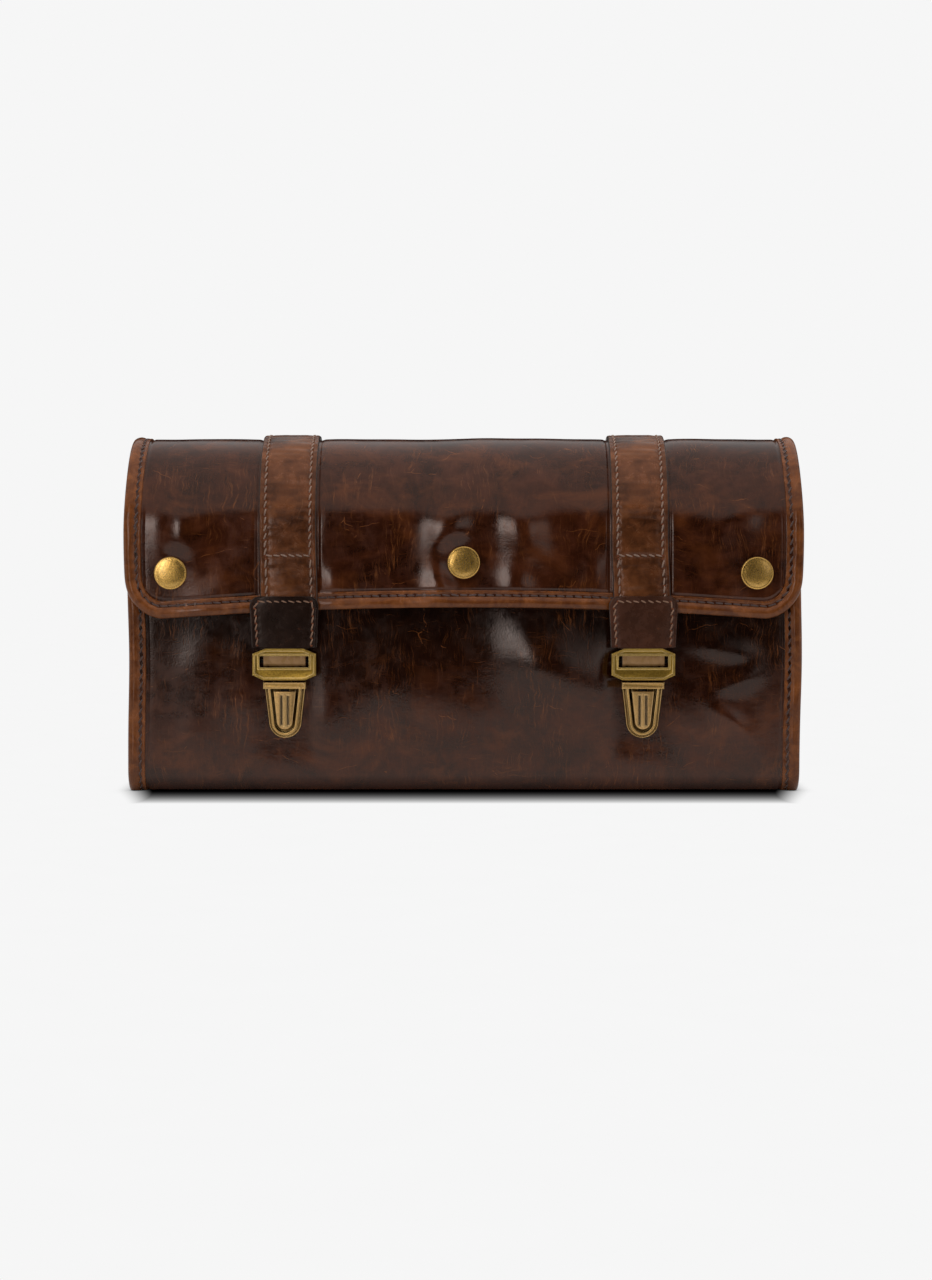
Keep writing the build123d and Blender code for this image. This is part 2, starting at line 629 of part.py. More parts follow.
def stud_caps():
    """The three domed caps on the flap's face, each with the boss that grips its socket."""
    back = FLAP_Y - SEAM_GAP
    dome = [
        (0, back + 0.6),
        (3.4, back + 0.6),
        (3.4, back),
        (CAP_R - 0.5, back),
        (CAP_R, back - 0.4),
        (CAP_R, back - CAP_EDGE_T),
        (CAP_R - 0.45, back - CAP_EDGE_T - 0.45),
        (CAP_R - 1.3, back - CAP_T + 0.25),
        (CAP_R - 3.2, back - CAP_T + 0.08),
        (0, back - CAP_T),
    ]
    return [turned(dome, x, z) for x, z in STUD_SPOTS]


def stud_sockets():
    """The three sockets in the flap that snap over the studs."""
    inner = FLAP_Y + FLAP_FLOOR + SEAM_GAP
    ring = [
        (SOCKET_BORE_R, inner + 0.8),
        (SOCKET_R - 0.3, inner + 0.8),
        (SOCKET_R, inner + 0.5),
        (SOCKET_R, inner),
        (SOCKET_BARREL_R, inner),
        (SOCKET_BARREL_R, inner - 1.75),
        (SOCKET_BORE_R, inner - 1.75),
    ]
    return [turned(ring, x, z) for x, z in STUD_SPOTS]


def studs():
    """The three studs on the body's front panel."""
    skin = FRONT_Y - SEAM_GAP
    stud = [
        (STUD_BORE_R, skin),
        (STUD_R, skin),
        (STUD_R, skin - 0.4),
        (STUD_NECK_R, skin - 0.4),
        (STUD_NECK_R, skin - 1.3),
        (STUD_HEAD_R, skin - 1.8),
        (STUD_HEAD_R, skin - 2.4),
        (STUD_HEAD_R - 0.5, skin - 2.8),
        (STUD_BORE_R, skin - 2.8),
    ]
    return [turned(stud, x, z) for x, z in STUD_SPOTS]


def stud_posts():
    """The three posts inside the bag whose shanks hold the studs."""
    lining = FRONT_Y + LINING_FLOOR + SEAM_GAP
    post = [
        (0, lining + 0.6),
        (POST_HEAD_R - 0.3, lining + 0.6),
        (POST_HEAD_R, lining + 0.3),
        (POST_HEAD_R, lining),
        (POST_R, lining),
        (POST_R, FRONT_Y - 2.2),
        (0, FRONT_Y - 2.2),
    ]
    return [turned(post, x, z) for x, z in STUD_SPOTS]


SINGLE_PARTS = {
    "body_wrap": body_wrap,
    "body_lining": body_lining,
    "mouth_binding": mouth_binding,
    "base_board": base_board,
    "slip_pocket": slip_pocket,
    "tool_loops": tool_loops,
    "flap_skin": flap_skin,
    "flap_lining": flap_lining,
    "flap_binding": flap_binding,
}
GROUPS = {
    "stud_caps": stud_caps,
    "stud_sockets": stud_sockets,
    "studs": studs,
    "stud_posts": stud_posts,
}
MIRRORED_PARTS = {
    "gusset": gusset,
    "body_binding": body_binding,
    "rear_strap": rear_strap,
    "flap_strap": flap_strap,
    "strap_end": strap_end,
    "strap_tab": strap_tab,
    "lock_plate": lock_plate,
    "lock_bar": lock_bar,
    "lock_tongue": lock_tongue,
    "lock_case": lock_case,
    "lock_button": lock_button,
    "lock_catch": lock_catch,
    "lock_backplate": lock_backplate,
}
MIRRORED_GROUPS = {
    "tongue_rivets": tongue_rivets,
    "lock_rivets": lock_rivets,
}


def save(shape, node):
    """Writes one node's solids to its STEP file."""
    export_step(Compound(children=list(shape.solids())), f"parts/{node}.step")


def main():
    os.makedirs("parts", exist_ok=True)
    for node, make in SINGLE_PARTS.items():
        save(make(), node)
    for node, make in GROUPS.items():
        save(Compound(children=make()), node)
    for node, make in MIRRORED_PARTS.items():
        left, right = both_sides(make())
        save(left, f"left_{node}")
        save(right, f"right_{node}")
    for node, make in MIRRORED_GROUPS.items():
        left, right = both_sides(Compound(children=make()))
        save(left, f"left_{node}")
        save(right, f"right_{node}")


main()
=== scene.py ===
"""Looks for the shaving kit bag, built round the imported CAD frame. Lengths are in millimetres."""

import math

import bmesh
import bpy
import numpy as np
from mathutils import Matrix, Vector


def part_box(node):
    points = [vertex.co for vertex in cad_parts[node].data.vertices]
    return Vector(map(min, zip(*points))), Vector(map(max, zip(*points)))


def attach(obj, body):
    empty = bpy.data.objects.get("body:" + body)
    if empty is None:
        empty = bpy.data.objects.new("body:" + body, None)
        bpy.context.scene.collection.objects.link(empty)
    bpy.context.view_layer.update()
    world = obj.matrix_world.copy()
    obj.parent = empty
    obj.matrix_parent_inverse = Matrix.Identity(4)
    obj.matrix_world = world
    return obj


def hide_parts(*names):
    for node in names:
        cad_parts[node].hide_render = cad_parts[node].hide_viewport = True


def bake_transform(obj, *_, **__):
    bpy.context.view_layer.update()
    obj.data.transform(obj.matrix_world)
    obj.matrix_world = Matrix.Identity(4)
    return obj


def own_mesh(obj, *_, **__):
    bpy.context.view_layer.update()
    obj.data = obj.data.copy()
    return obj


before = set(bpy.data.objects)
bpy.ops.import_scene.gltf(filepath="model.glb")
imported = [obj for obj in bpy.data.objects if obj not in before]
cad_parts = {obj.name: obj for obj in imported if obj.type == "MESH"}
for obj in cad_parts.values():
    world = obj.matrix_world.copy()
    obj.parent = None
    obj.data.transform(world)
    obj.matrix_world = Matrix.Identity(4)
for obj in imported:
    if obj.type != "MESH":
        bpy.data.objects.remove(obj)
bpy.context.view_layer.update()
MM = 0.001
PAT = 0.1  # the leather pattern's coordinates are in centimetres


def metres(*point):
    """A point given in millimetres, in metres."""
    return tuple(float(v) * MM for v in point)


def cad_box(node):
    """A CAD node's lowest and highest corners, in millimetres."""
    low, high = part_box(node)
    return np.array(low) / MM, np.array(high) / MM


# ---- Sizes read from the CAD frame ---------------------------------------------------------------
WRAP_LOW, WRAP_HIGH = cad_box("body_wrap")
FLAP_LOW, FLAP_HIGH = cad_box("flap_binding")
BIND_LOW, BIND_HIGH = cad_box("right_body_binding")
MOUTH_LOW, MOUTH_HIGH = cad_box("mouth_binding")
STRAP_LOW, STRAP_HIGH = cad_box("right_flap_strap")
END_LOW = cad_box("right_strap_end")[0]
REAR_LOW = cad_box("right_rear_strap")[0]
TAB_LOW, TAB_HIGH = cad_box("right_strap_tab")
PLATE_LOW, PLATE_HIGH = cad_box("right_lock_plate")
BAR_LOW, BAR_HIGH = cad_box("right_lock_bar")
CAPS_LOW, CAPS_HIGH = cad_box("stud_caps")
GUSSET_LOW = cad_box("right_gusset")[0]
POCKET_LOW, POCKET_HIGH = cad_box("slip_pocket")
LOOPS_LOW, LOOPS_HIGH = cad_box("tool_loops")
BOARD_LOW, BOARD_HIGH = cad_box("base_board")

HALF_W = FLAP_HIGH[0]
FRONT_Y, BACK_Y, FLAP_Y = WRAP_LOW[1], WRAP_HIGH[1], FLAP_LOW[1]
TOP_R = (BACK_Y - FLAP_Y) / 2
TOP_Y = (BACK_Y + FLAP_Y) / 2
TOP_Z = FLAP_HIGH[2] - TOP_R
BASE_R = 10.0
MOUTH_LIP, EDGE_LIP = 0.95, 0.9  # how far the bindings reach past the edges they cover
MOUTH_Z = MOUTH_HIGH[2] - MOUTH_LIP
BINDING_W = BIND_HIGH[0] - BIND_LOW[0]
SKIN_T, LINING_TOP, LINING_FLOOR, BODY_EDGE_T = 1.8, 1.85, 2.45, 4.0  # depths below the outer face
STRAP_X = (STRAP_LOW[0] + STRAP_HIGH[0]) / 2
STRAP_HALF = (STRAP_HIGH[0] - STRAP_LOW[0]) / 2
STRAP_T = STRAP_HIGH[2] - FLAP_HIGH[2] - 0.05
STRAP_STEP = 0.45
LOCK_X = (PLATE_LOW[0] + PLATE_HIGH[0]) / 2
EDGE_Z = FLAP_LOW[2] + EDGE_LIP
EDGE_RISE, EDGE_ARCH_X, CORNER_R = 4.6, 127.0, 18.0
SNAP_X = 130.0
CAP_R = CAPS_HIGH[0] - SNAP_X
SNAPS = [(-SNAP_X, 97.8), (0.0, 102.5), (SNAP_X, 97.8)]

# ---- The bag's skin as one path: mouth, front, base, back, over the top, down the flap -----------
S_CORNER = MOUTH_Z - BASE_R
S_BASE = S_CORNER + BASE_R * math.pi / 2
S_HEEL = S_BASE + (BACK_Y - FRONT_Y) - 2 * BASE_R
S_BACK = S_HEEL + BASE_R * math.pi / 2
S_TOP = S_BACK + TOP_Z - BASE_R
S_FLAP = S_TOP + TOP_R * math.pi
S_MID = (S_BASE + S_HEEL) / 2
HINGE = math.radians(45.0)  # where round the top the flap bends
S_HINGE = S_TOP + TOP_R * HINGE


def flap_s(z):
    """Path length of a height on the flap's hanging front."""
    return S_FLAP + TOP_Z - z


def back_s(z):
    """Path length of a height on the back panel."""
    return S_BACK + z - BASE_R


def skin_line(s):
    """The outer skin at path length s: y, z, and the outward normal's y and z."""
    s = np.asarray(s, float)
    heel = math.pi * 1.5 + (s - S_HEEL) / BASE_R
    toe = math.pi + (s - S_CORNER) / BASE_R
    top = (s - S_TOP) / TOP_R
    where = [s < S_CORNER, s < S_BASE, s < S_HEEL, s < S_BACK, s < S_TOP, s < S_FLAP]
    one, nought = np.ones_like(s), np.zeros_like(s)
    ny = np.select(where, [-one, np.cos(toe), nought, np.cos(heel), one, np.cos(top)], -one)
    nz = np.select(where, [nought, np.sin(toe), -one, np.sin(heel), nought, np.sin(top)], nought)
    toe_y, heel_y, low = FRONT_Y + BASE_R, BACK_Y - BASE_R, BASE_R + BASE_R * nz
    y = [FRONT_Y * one, toe_y + BASE_R * ny, toe_y + s - S_BASE, heel_y + BASE_R * ny, BACK_Y * one]
    z = [MOUTH_Z - s, low, nought, low, BASE_R + s - S_BACK]
    y = np.select(where, y + [TOP_Y + TOP_R * ny], FLAP_Y * one)
    z = np.select(where, z + [TOP_Z + TOP_R * nz], TOP_Z - (s - S_FLAP))
    return y, z, ny, nz


# ---- How the leather bulges and creases ----------------------------------------------------------
def fade(a, low, high):
    """0 below low, 1 above high, smooth between."""
    t = np.clip((a - low) / (high - low), 0, 1)
    return t * t * (3 - 2 * t)


def bell(a, width, power=2):
    """1 where a is 0, falling to 0 over the width; a higher power makes it flatter on top and steeper."""
    return np.exp(-((a / width) ** power))


def soft_table(knots, values, blur):
    """A smooth curve through rough knots, as a function of path length."""
    at = np.arange(-40, 520, 1.0)
    raw = np.interp(at, knots, values)
    kernel = np.exp(-0.5 * (np.arange(-3 * blur, 3 * blur + 1) / blur) ** 2)
    soft = np.convolve(np.pad(raw, int(3 * blur), mode="edge"), kernel / kernel.sum(), "valid")
    return lambda s: np.interp(s, at, soft)


def waves(seed, low, high, count):
    """Smooth noise of about -1 to 1, from waves whose lengths lie between low and high."""
    rng = np.random.default_rng(seed)
    length = rng.uniform(low, high, count)
    turn = rng.uniform(0, math.pi, count)
    phase = rng.uniform(0, 2 * math.pi, count)
    kx, ks = 2 * math.pi / length * np.cos(turn), 2 * math.pi / length * np.sin(turn)

    def noise(x, s):
        total = sum(np.sin(a * x + b * s + p) for a, b, p in zip(kx, ks, phase))
        return total / math.sqrt(count / 2)

    return noise


ROLL = waves(3, 46, 95, 9)
RIPPLE = waves(8, 20, 38, 12)
BULGE = soft_table(
    [0, 40, 60, 78, 96, 112, 186, 208, 240, 275, 310, 345, 520],
    [0, 0.0, 1.3, 1.5, 0.8, 0.0, 0.0, 0.9, 1.5, 0.9, 0.3, 0.2, 0.2],
    6,
)
ROUGH = soft_table(
    [0, 34, 46, 96, 112, 184, 208, 300, 420, 460, 520],
    [0.05, 0.06, 0.17, 0.20, 0.0, 0.0, 0.5, 0.45, 0.16, 0.12, 0.12],
    5,
)


def ridge(x, s, x0, s0, turn, length, width):
    """A soft crease of height 1, turned by turn degrees from the bag's length."""
    c, n = math.cos(math.radians(turn)), math.sin(math.radians(turn))
    along = (x - x0) * c + (s - s0) * n
    side = -(x - x0) * n + (s - s0) * c
    return np.exp(-((along / length) ** 2) - (side / width) ** 2)


# each: x, height, side ("flap", "front" or "back"), turn, length, width, rise
CREASES = [
    (-7.0, 117.0, "flap", 103, 17, 9.0, 2.4),
    (26.0, 117.0, "flap", 80, 16, 9.0, 2.2),
    (-9.5, 94.0, "flap", 108, 9, 6.5, 1.5),
    (23.0, 94.0, "flap", 74, 9, 6.5, 1.4),
    (-126.0, 116.0, "flap", 90, 17, 11.0, 2.0),
    (-108.0, 97.0, "flap", 60, 9, 7.0, 0.35),
    (-58.0, 94.0, "flap", 88, 6, 4.5, 0.8),
    (57.0, 98.0, "flap", 92, 9, 6.0, 0.9),
    (36.0, 104.0, "flap", 30, 16, 6.0, 0.35),
    (34.0, 141.0, "flap", 35, 14, 6.0, 0.6),
    (112.0, 114.0, "flap", 125, 15, 8.0, 0.8),
    (126.0, 126.0, "flap", 100, 12, 6.0, 0.5),
    (34.0, 58.0, "front", 66, 28, 16.0, 4.0),
    (55.0, 54.0, "front", 70, 28, 18.0, 2.3),
    (-34.0, 52.0, "front", 120, 20, 14.0, 0.3),
    (116.0, 64.0, "front", 12, 15, 5.0, 1.0),
    (124.0, 50.0, "front", 158, 13, 4.5, 0.9),
    (118.0, 33.0, "front", 35, 11, 4.0, 0.6),
    (126.0, 24.0, "front", 60, 9, 3.5, 0.5),
    (-118.0, 58.0, "front", 98, 18, 8.0, 0.35),
    (-122.0, 28.0, "front", 80, 14, 7.0, 0.25),
    (40.0, 28.0, "front", 15, 26, 6.0, 0.25),
    (-40.0, 70.0, "back", 60, 24, 9.0, 0.8),
    (50.0, 90.0, "back", 110, 22, 8.0, 0.8),
    (110.0, 50.0, "back", 40, 20, 7.0, 0.7),
    (-115.0, 95.0, "back", 130, 20, 7.0, 0.7),
]
SIDE_S = {"flap": flap_s, "front": lambda z: MOUTH_Z - z, "back": back_s}


def straps_press(x, s):
    """1 where a strap holds the leather down, from its rear end over the top to the flap's edge."""
    across = bell(np.abs(x) - STRAP_X, STRAP_HALF + 3, 6)
    return across * fade(s, back_s(REAR_LOW[2]) - 14, back_s(REAR_LOW[2]))


def locks_press(x, s):
    """1 where a lock case or its rivets hold the front down."""
    z = MOUTH_Z - s
    return np.exp(-(((np.abs(x) - LOCK_X) / 15) ** 6) - ((z - 38) / 24) ** 6)


def snaps_press(x, s):
    """1 where a press stud holds the flap and the front together."""
    total = np.zeros(np.broadcast(x, s).shape)
    for x0, z0 in SNAPS:
        for s0 in (flap_s(z0), MOUTH_Z - z0):
            total = np.maximum(total, bell((x - x0) ** 2 + (s - s0) ** 2, 11.0**2))
    return total


def puff(x, s):
    """How far the leather stands out from the CAD skin, in millimetres."""
    edge = 1 - fade(np.abs(x), 124, 143)
    dome = np.clip(1 - (x / 141) ** 2, 0, None)
    free = (1 - straps_press(x, s)) * (1 - locks_press(x, s)) * (1 - snaps_press(x, s))
    total = ROUGH(s) * (0.65 * ROLL(x, s) + 0.22 * RIPPLE(x, s))
    for x0, z0, side, turn, length, width, rise in CREASES:
        total = total + rise * ridge(x, s, x0, SIDE_S[side](z0), turn, length, width)
    flare = 2.1 * fade(s, flap_s(100), flap_s(79)) * bell(x + 4, 52)
    flare = flare + 0.8 * fade(s, flap_s(98), flap_s(79)) * bell(np.abs(x) - 113, 13)
    return free * (edge * total + BULGE(s) * dome + flare)


def sway(x, s):
    """How far the bound sides wander from straight lines: the flap's bow out, the body's lean to one side."""
    side = fade(np.abs(x), 100, 146)
    flap = 0.9 * np.sign(x) * bell(s - flap_s(112), 24)
    body = 0.8 * bell(s - MOUTH_Z + 60, 26)
    return side * (flap + body)


def skin_map(x, s, d):
    """The point d millimetres below the bulging skin."""
    x, s, d = np.broadcast_arrays(np.asarray(x, float), np.asarray(s, float), np.asarray(d, float))
    y, z, ny, nz = skin_line(s)
    out = puff(x, s) - d
    return np.stack([x + sway(x, s), y + ny * out, z + nz * out], -1)


# ---- Mesh builders -------------------------------------------------------------------------------
GROUND = 0.02  # soft pieces are pressed flat just above the floor
SHARP_DEG = 52


def make(name, verts, faces, materials, pat=None, index=None):
    """A closed mesh from millimetre points, facing outward, with its pattern coordinates as an attribute."""
    mesh = bpy.data.meshes.new(name)
    points = np.asarray(verts, float) * MM
    points[:, 2] = np.maximum(points[:, 2], GROUND * MM)
    mesh.from_pydata(points.tolist(), [], faces)
    solid = bmesh.new()
    solid.from_mesh(mesh)
    if solid.calc_volume(signed=True) < 0:
        mesh.flip_normals()
    solid.free()
    for m in materials if isinstance(materials, list) else [materials]:
        mesh.materials.append(m)
    if index is not None:
        mesh.polygons.foreach_set("material_index", np.asarray(index, np.int32))
    mesh.polygons.foreach_set("use_smooth", np.ones(len(mesh.polygons), bool))
    at = np.asarray(verts if pat is None else pat, np.float32) * PAT
    mesh.attributes.new("pat", "FLOAT_VECTOR", "POINT").data.foreach_set("vector", at.ravel())
    mesh.update()
    mesh.set_sharp_from_angle(angle=math.radians(SHARP_DEG))
    obj = bpy.data.objects.new(name, mesh)
    bpy.context.scene.collection.objects.link(obj)
    return obj


def stand_for(obj, slot, replaced):
    """Hides the CAD nodes that a piece stands for; its material slot is not used."""
    if replaced:
        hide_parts(*replaced)
    return obj


def fix(obj, slot, body, *replaced):
    """Fixes a piece to one body."""
    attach(stand_for(obj, slot, replaced), body)


def over_fold(obj, slot, *replaced):
    """Bakes a piece's placement into its mesh, after hiding the CAD nodes it stands for."""
    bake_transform(stand_for(obj, slot, replaced))


def grid_faces(rows, cols, offset=0, wrap=False, flip=False):
    """Quads of a rows by cols grid of points; wrap joins the last column to the first."""
    last = cols if wrap else cols - 1
    r, c = np.meshgrid(np.arange(rows - 1), np.arange(last), indexing="ij")
    n = (c + 1) % cols
    quads = np.stack([r * cols + c, r * cols + n, (r + 1) * cols + n, (r + 1) * cols + c], -1).reshape(-1, 4)
    if flip:
        quads = quads[:, ::-1]
    return (quads + offset).tolist()


def slab(name, u, v, top, floor, place, materials, flip=False):
    """A closed sheet over a grid of (u, v), between two depths. place(u, v, depth) gives the points."""
    rows, cols = u.shape
    upper, lower = place(u, v, top * np.ones_like(u)), place(u, v, floor * np.ones_like(u))
    verts = np.concatenate([upper.reshape(-1, 3), lower.reshape(-1, 3)])
    count = rows * cols
    faces = grid_faces(rows, cols, 0, flip=flip) + grid_faces(rows, cols, count, flip=not flip)
    ids = np.arange(count).reshape(rows, cols)
    rim = np.concatenate([ids[0, :-1], ids[:-1, -1], ids[-1, :0:-1], ids[:0:-1, 0]])
    after = np.roll(rim, -1)
    sides = np.stack([after, rim, rim + count, after + count], -1)
    faces += (sides[:, ::-1] if flip else sides).tolist()
    pat = np.concatenate([np.stack([u, v, u * 0 + d], -1).reshape(-1, 3) for d in (top, floor)])
    return make(name, verts, faces, materials, pat)


def tube(rings, flip=False):
    """Points and faces of a tube through rings of points, its ends capped."""
    n, count = len(rings[0]), len(rings) * len(rings[0])
    first, last = list(range(n)), list(range(count - n, count))
    caps = [first, last[::-1]] if flip else [first[::-1], last]
    return np.concatenate(rings), grid_faces(len(rings), n, wrap=True, flip=flip) + caps


def ribbon(name, along, loop, place, materials, index=None, flip=False):
    """A closed cross-section swept along a path. loop(t) gives its (across, depth) points at t.
    index is 1 for the faces that take the second material."""
    rings, pats = [], []
    for t in along:
        w, d = loop(t)
        rings.append(place(w, np.full(len(w), t), d))
        pats.append(np.stack([w, np.full(len(w), t), d], -1))
    verts, faces = tube(rings, flip)
    kinds = None if index is None else list(np.tile(index, len(rings) - 1)) + [1, 1]
    return make(name, verts, faces, materials, np.concatenate(pats), kinds)


def run_length(path):
    """The length travelled at each point of a polyline."""
    return np.concatenate([[0], np.cumsum(np.linalg.norm(np.diff(path, axis=0), axis=1))])


def resample(points, step):
    """Points at equal steps along a polyline, and the polyline's length."""
    points = np.asarray(points, float)
    run = run_length(points)
    count = max(2, int(round(run[-1] / step)) + 1)
    at = np.linspace(0, run[-1], count)
    return np.stack([np.interp(at, run, points[:, i]) for i in range(points.shape[1])], -1), run[-1]


def smooth_path(points, reach, times):
    """The polyline with its corners eased, its ends held."""
    points = points.copy()
    for _ in range(times):
        points[reach:-reach] = (points[: -2 * reach] + points[2 * reach :] + 2 * points[reach:-reach]) / 4
    return points


def normals_2d(path):
    """Unit normals of a path in the (x, s) plane, to the side of increasing x on a rising path."""
    step = np.gradient(path, axis=0)
    step /= np.linalg.norm(step, axis=1)[:, None]
    return np.stack([step[:, 1], -step[:, 0]], -1)


def stitch_row(path, pitch):
    """The middles, directions, pitch and needle holes of a row of stitches along a path."""
    line, run = resample(path, 0.4)
    count = max(1, int(round(run / pitch)))
    at = (np.arange(count) + 0.5) / count * (len(line) - 1)
    low = np.floor(at).astype(int).clip(0, len(line) - 2)
    part = (at - low)[:, None]
    mid = line[low] * (1 - part) + line[low + 1] * part
    way = line[low + 1] - line[low]
    way /= np.linalg.norm(way, axis=1)[:, None]
    true = run / count
    holes = np.concatenate([mid[:1] - way[:1] * true / 2, mid + way * true / 2])
    return mid, way, true, holes


def dimple(u, v, holes, depth=0.42, reach=0.85):
    """How far the leather is drawn in round each needle hole."""
    near = ((np.ravel(u)[:, None] - holes[:, 0]) ** 2 + (np.ravel(v)[:, None] - holes[:, 1]) ** 2).min(1)
    return (depth * np.exp(-near / reach**2)).reshape(np.shape(u))


STEPS = np.array([-1, -0.8, -0.4, 0, 0.4, 0.8, 1])  # along one stitch
GIRTH = np.array([0.45, 0.8, 1, 1.05, 1, 0.8, 0.45])


def stitches(
    name, path, place, depth, material, pitch, radius=0.40, rise=0.24, slant=8.0, lean=0.0, hole=None, side=1
):
    """A row of lockstitches along a path, each diving into the leather at both ends.
    side is -1 on an inner face, hole is one of the kinds of needle hole below."""
    mid, way, true, holes = stitch_row(path, pitch)
    along_row = np.concatenate([way[:1], way])
    count = len(mid)
    rng = np.random.default_rng(len(name))
    turn = np.radians(slant + lean * np.abs(way[:, 1]) ** 2 + rng.normal(0, 3, count))
    c, n = np.cos(turn), np.sin(turn)
    way = np.stack([way[:, 0] * c - way[:, 1] * n, way[:, 0] * n + way[:, 1] * c], -1)
    out = np.stack([-way[:, 1], way[:, 0]], -1)
    girth = radius * GIRTH
    height = rise * (1 - np.abs(STEPS) ** 3) - 0.30 * radius
    height[[0, -1]] -= 0.36
    ring = np.linspace(0, 2 * math.pi, 7)[:-1]
    span = true * 0.475 * (1 + rng.normal(0, 0.04, count))
    along = mid[:, None, None] + way[:, None, None] * (span[:, None, None, None] * STEPS[None, :, None, None])
    across = out[:, None, None] * (girth[None, :, None, None] * np.cos(ring)[None, None, :, None])
    at = along + across
    lift = height[None, :, None] + girth[None, :, None] * np.sin(ring)[None, None, :] * np.ones((count, 1, 1))
    verts = place(at[..., 0], at[..., 1], depth - side * lift).reshape(-1, 3)
    k, m = len(STEPS), len(ring)
    unit = np.array(grid_faces(k, m, wrap=True, flip=side < 0))
    quads = (unit[None] + (np.arange(count) * k * m)[:, None, None]).reshape(-1, 4).tolist()
    first, last = np.arange(m)[::-side], (k - 1) * m + np.arange(m)[::side]
    ends = (np.stack([first, last])[None] + (np.arange(count) * k * m)[:, None, None]).reshape(-1, m).tolist()
    pieces = [make(name, verts, quads + ends, material)]
    if hole is not None:
        pieces.append(punched(name + "_holes", holes, along_row, place, depth, side, *hole))
    return pieces


def punched(name, holes, way, place, depth, side, material, size, low, high):
    """A small lens at each needle hole: its half length and width, and the depth of its rim and middle."""
    spin = np.linspace(0, 2 * math.pi, 9)[:-1]
    beside = np.stack([-way[:, 1], way[:, 0]], -1)
    disc = holes[:, None] + way[:, None] * size[0] * np.cos(spin)[None, :, None]
    disc = disc + beside[:, None] * size[1] * np.sin(spin)[None, :, None]
    rims = place(disc[..., 0], disc[..., 1], np.full(disc.shape[:2], depth + low * side))
    top, under = (place(*holes.T, np.full(len(holes), depth + d * side)) for d in (high, 0.8))
    points = np.concatenate([rims, top[:, None], under[:, None]], 1).reshape(-1, 3)
    j, k = np.arange(8), (np.arange(8) + 1) % 8
    fan = np.concatenate([np.stack([j, k, 0 * j + 8], -1), np.stack([k, j, 0 * j + 9], -1)])
    tris = (fan[None] + (np.arange(len(holes)) * 10)[:, None, None]).reshape(-1, 3).tolist()
    return make(name, points, tris, material)


# ---- Materials -----------------------------------------------------------------------------------
class Tree:
    """A new material's node tree, or a given one, with short calls for the nodes used here."""

    def __init__(self, name=None, tree=None):
        if tree is None:
            self.material = bpy.data.materials.new(name)
            self.material.use_nodes = True
            tree = self.material.node_tree
        self.nodes, self.links = tree.nodes, tree.links

    def set(self, socket, value):
        if isinstance(value, bpy.types.NodeSocket):
            self.links.new(value, socket)
        else:
            socket.default_value = value

    def node(self, kind, inputs=(), out=0, **options):
        n = self.nodes.new(kind)
        for k, v in options.items():
            setattr(n, k, v)
        for k, v in dict(inputs).items():
            self.set(n.inputs[k], v)
        return n.outputs[out]

    def math(self, how, a, b=0.0, clamp=False):
        return self.node("ShaderNodeMath", {0: a, 1: b}, operation=how, use_clamp=clamp)

    def mul(self, a, b, clamp=False):
        return self.math("MULTIPLY", a, b, clamp)

    def add(self, a, b, clamp=False):
        return self.math("ADD", a, b, clamp)

    def ramp(self, value, low, high, a=0.0, b=1.0):
        """A smooth step: a up to low, b from high on."""
        inputs = {"Value": value, "From Min": low, "From Max": high, "To Min": a, "To Max": b}
        return self.node("ShaderNodeMapRange", inputs, interpolation_type="SMOOTHSTEP")

    def scaled(self, vector, scale, turn=(0, 0, 0)):
        return self.node("ShaderNodeMapping", {"Vector": vector, "Scale": scale, "Rotation": turn})

    def noise(self, vector, scale, detail=2.0, rough=0.5, distort=0.0):
        inputs = {"Scale": scale, "Detail": detail, "Roughness": rough, "Distortion": distort}
        return self.node("ShaderNodeTexNoise", {"Vector": vector, **inputs})

    def mix(self, share, a, b, how="MIX"):
        n = self.nodes.new("ShaderNodeMix")
        n.data_type, n.blend_type = "RGBA", how
        for socket, v in ((n.inputs[0], share), (n.inputs[6], a), (n.inputs[7], b)):
            self.set(socket, v)
        return n.outputs[2]

    def split(self, vector):
        """A vector's x, y and z."""
        n = self.nodes.new("ShaderNodeSeparateXYZ")
        self.links.new(vector, n.inputs[0])
        return n.outputs

    def object_at(self):
        """The object's own coordinates, in metres."""
        return self.node("ShaderNodeTexCoord", out="Object")

    def pattern_at(self):
        """The leather pattern's coordinates, in centimetres along the hide."""
        return self.node("ShaderNodeAttribute", out="Vector", attribute_name="pat")

    def bump(self, height, distance):
        return self.node("ShaderNodeBump", {"Height": height, "Distance": distance, "Strength": 1.0})

    def finish(self, **values):
        for k, v in values.items():
            self.set(self.nodes["Principled BSDF"].inputs[k.replace("_", " ")], v)
        return self.material


def rgb(r, g, b):
    """A colour as nodes take it."""
    return (r, g, b, 1.0)


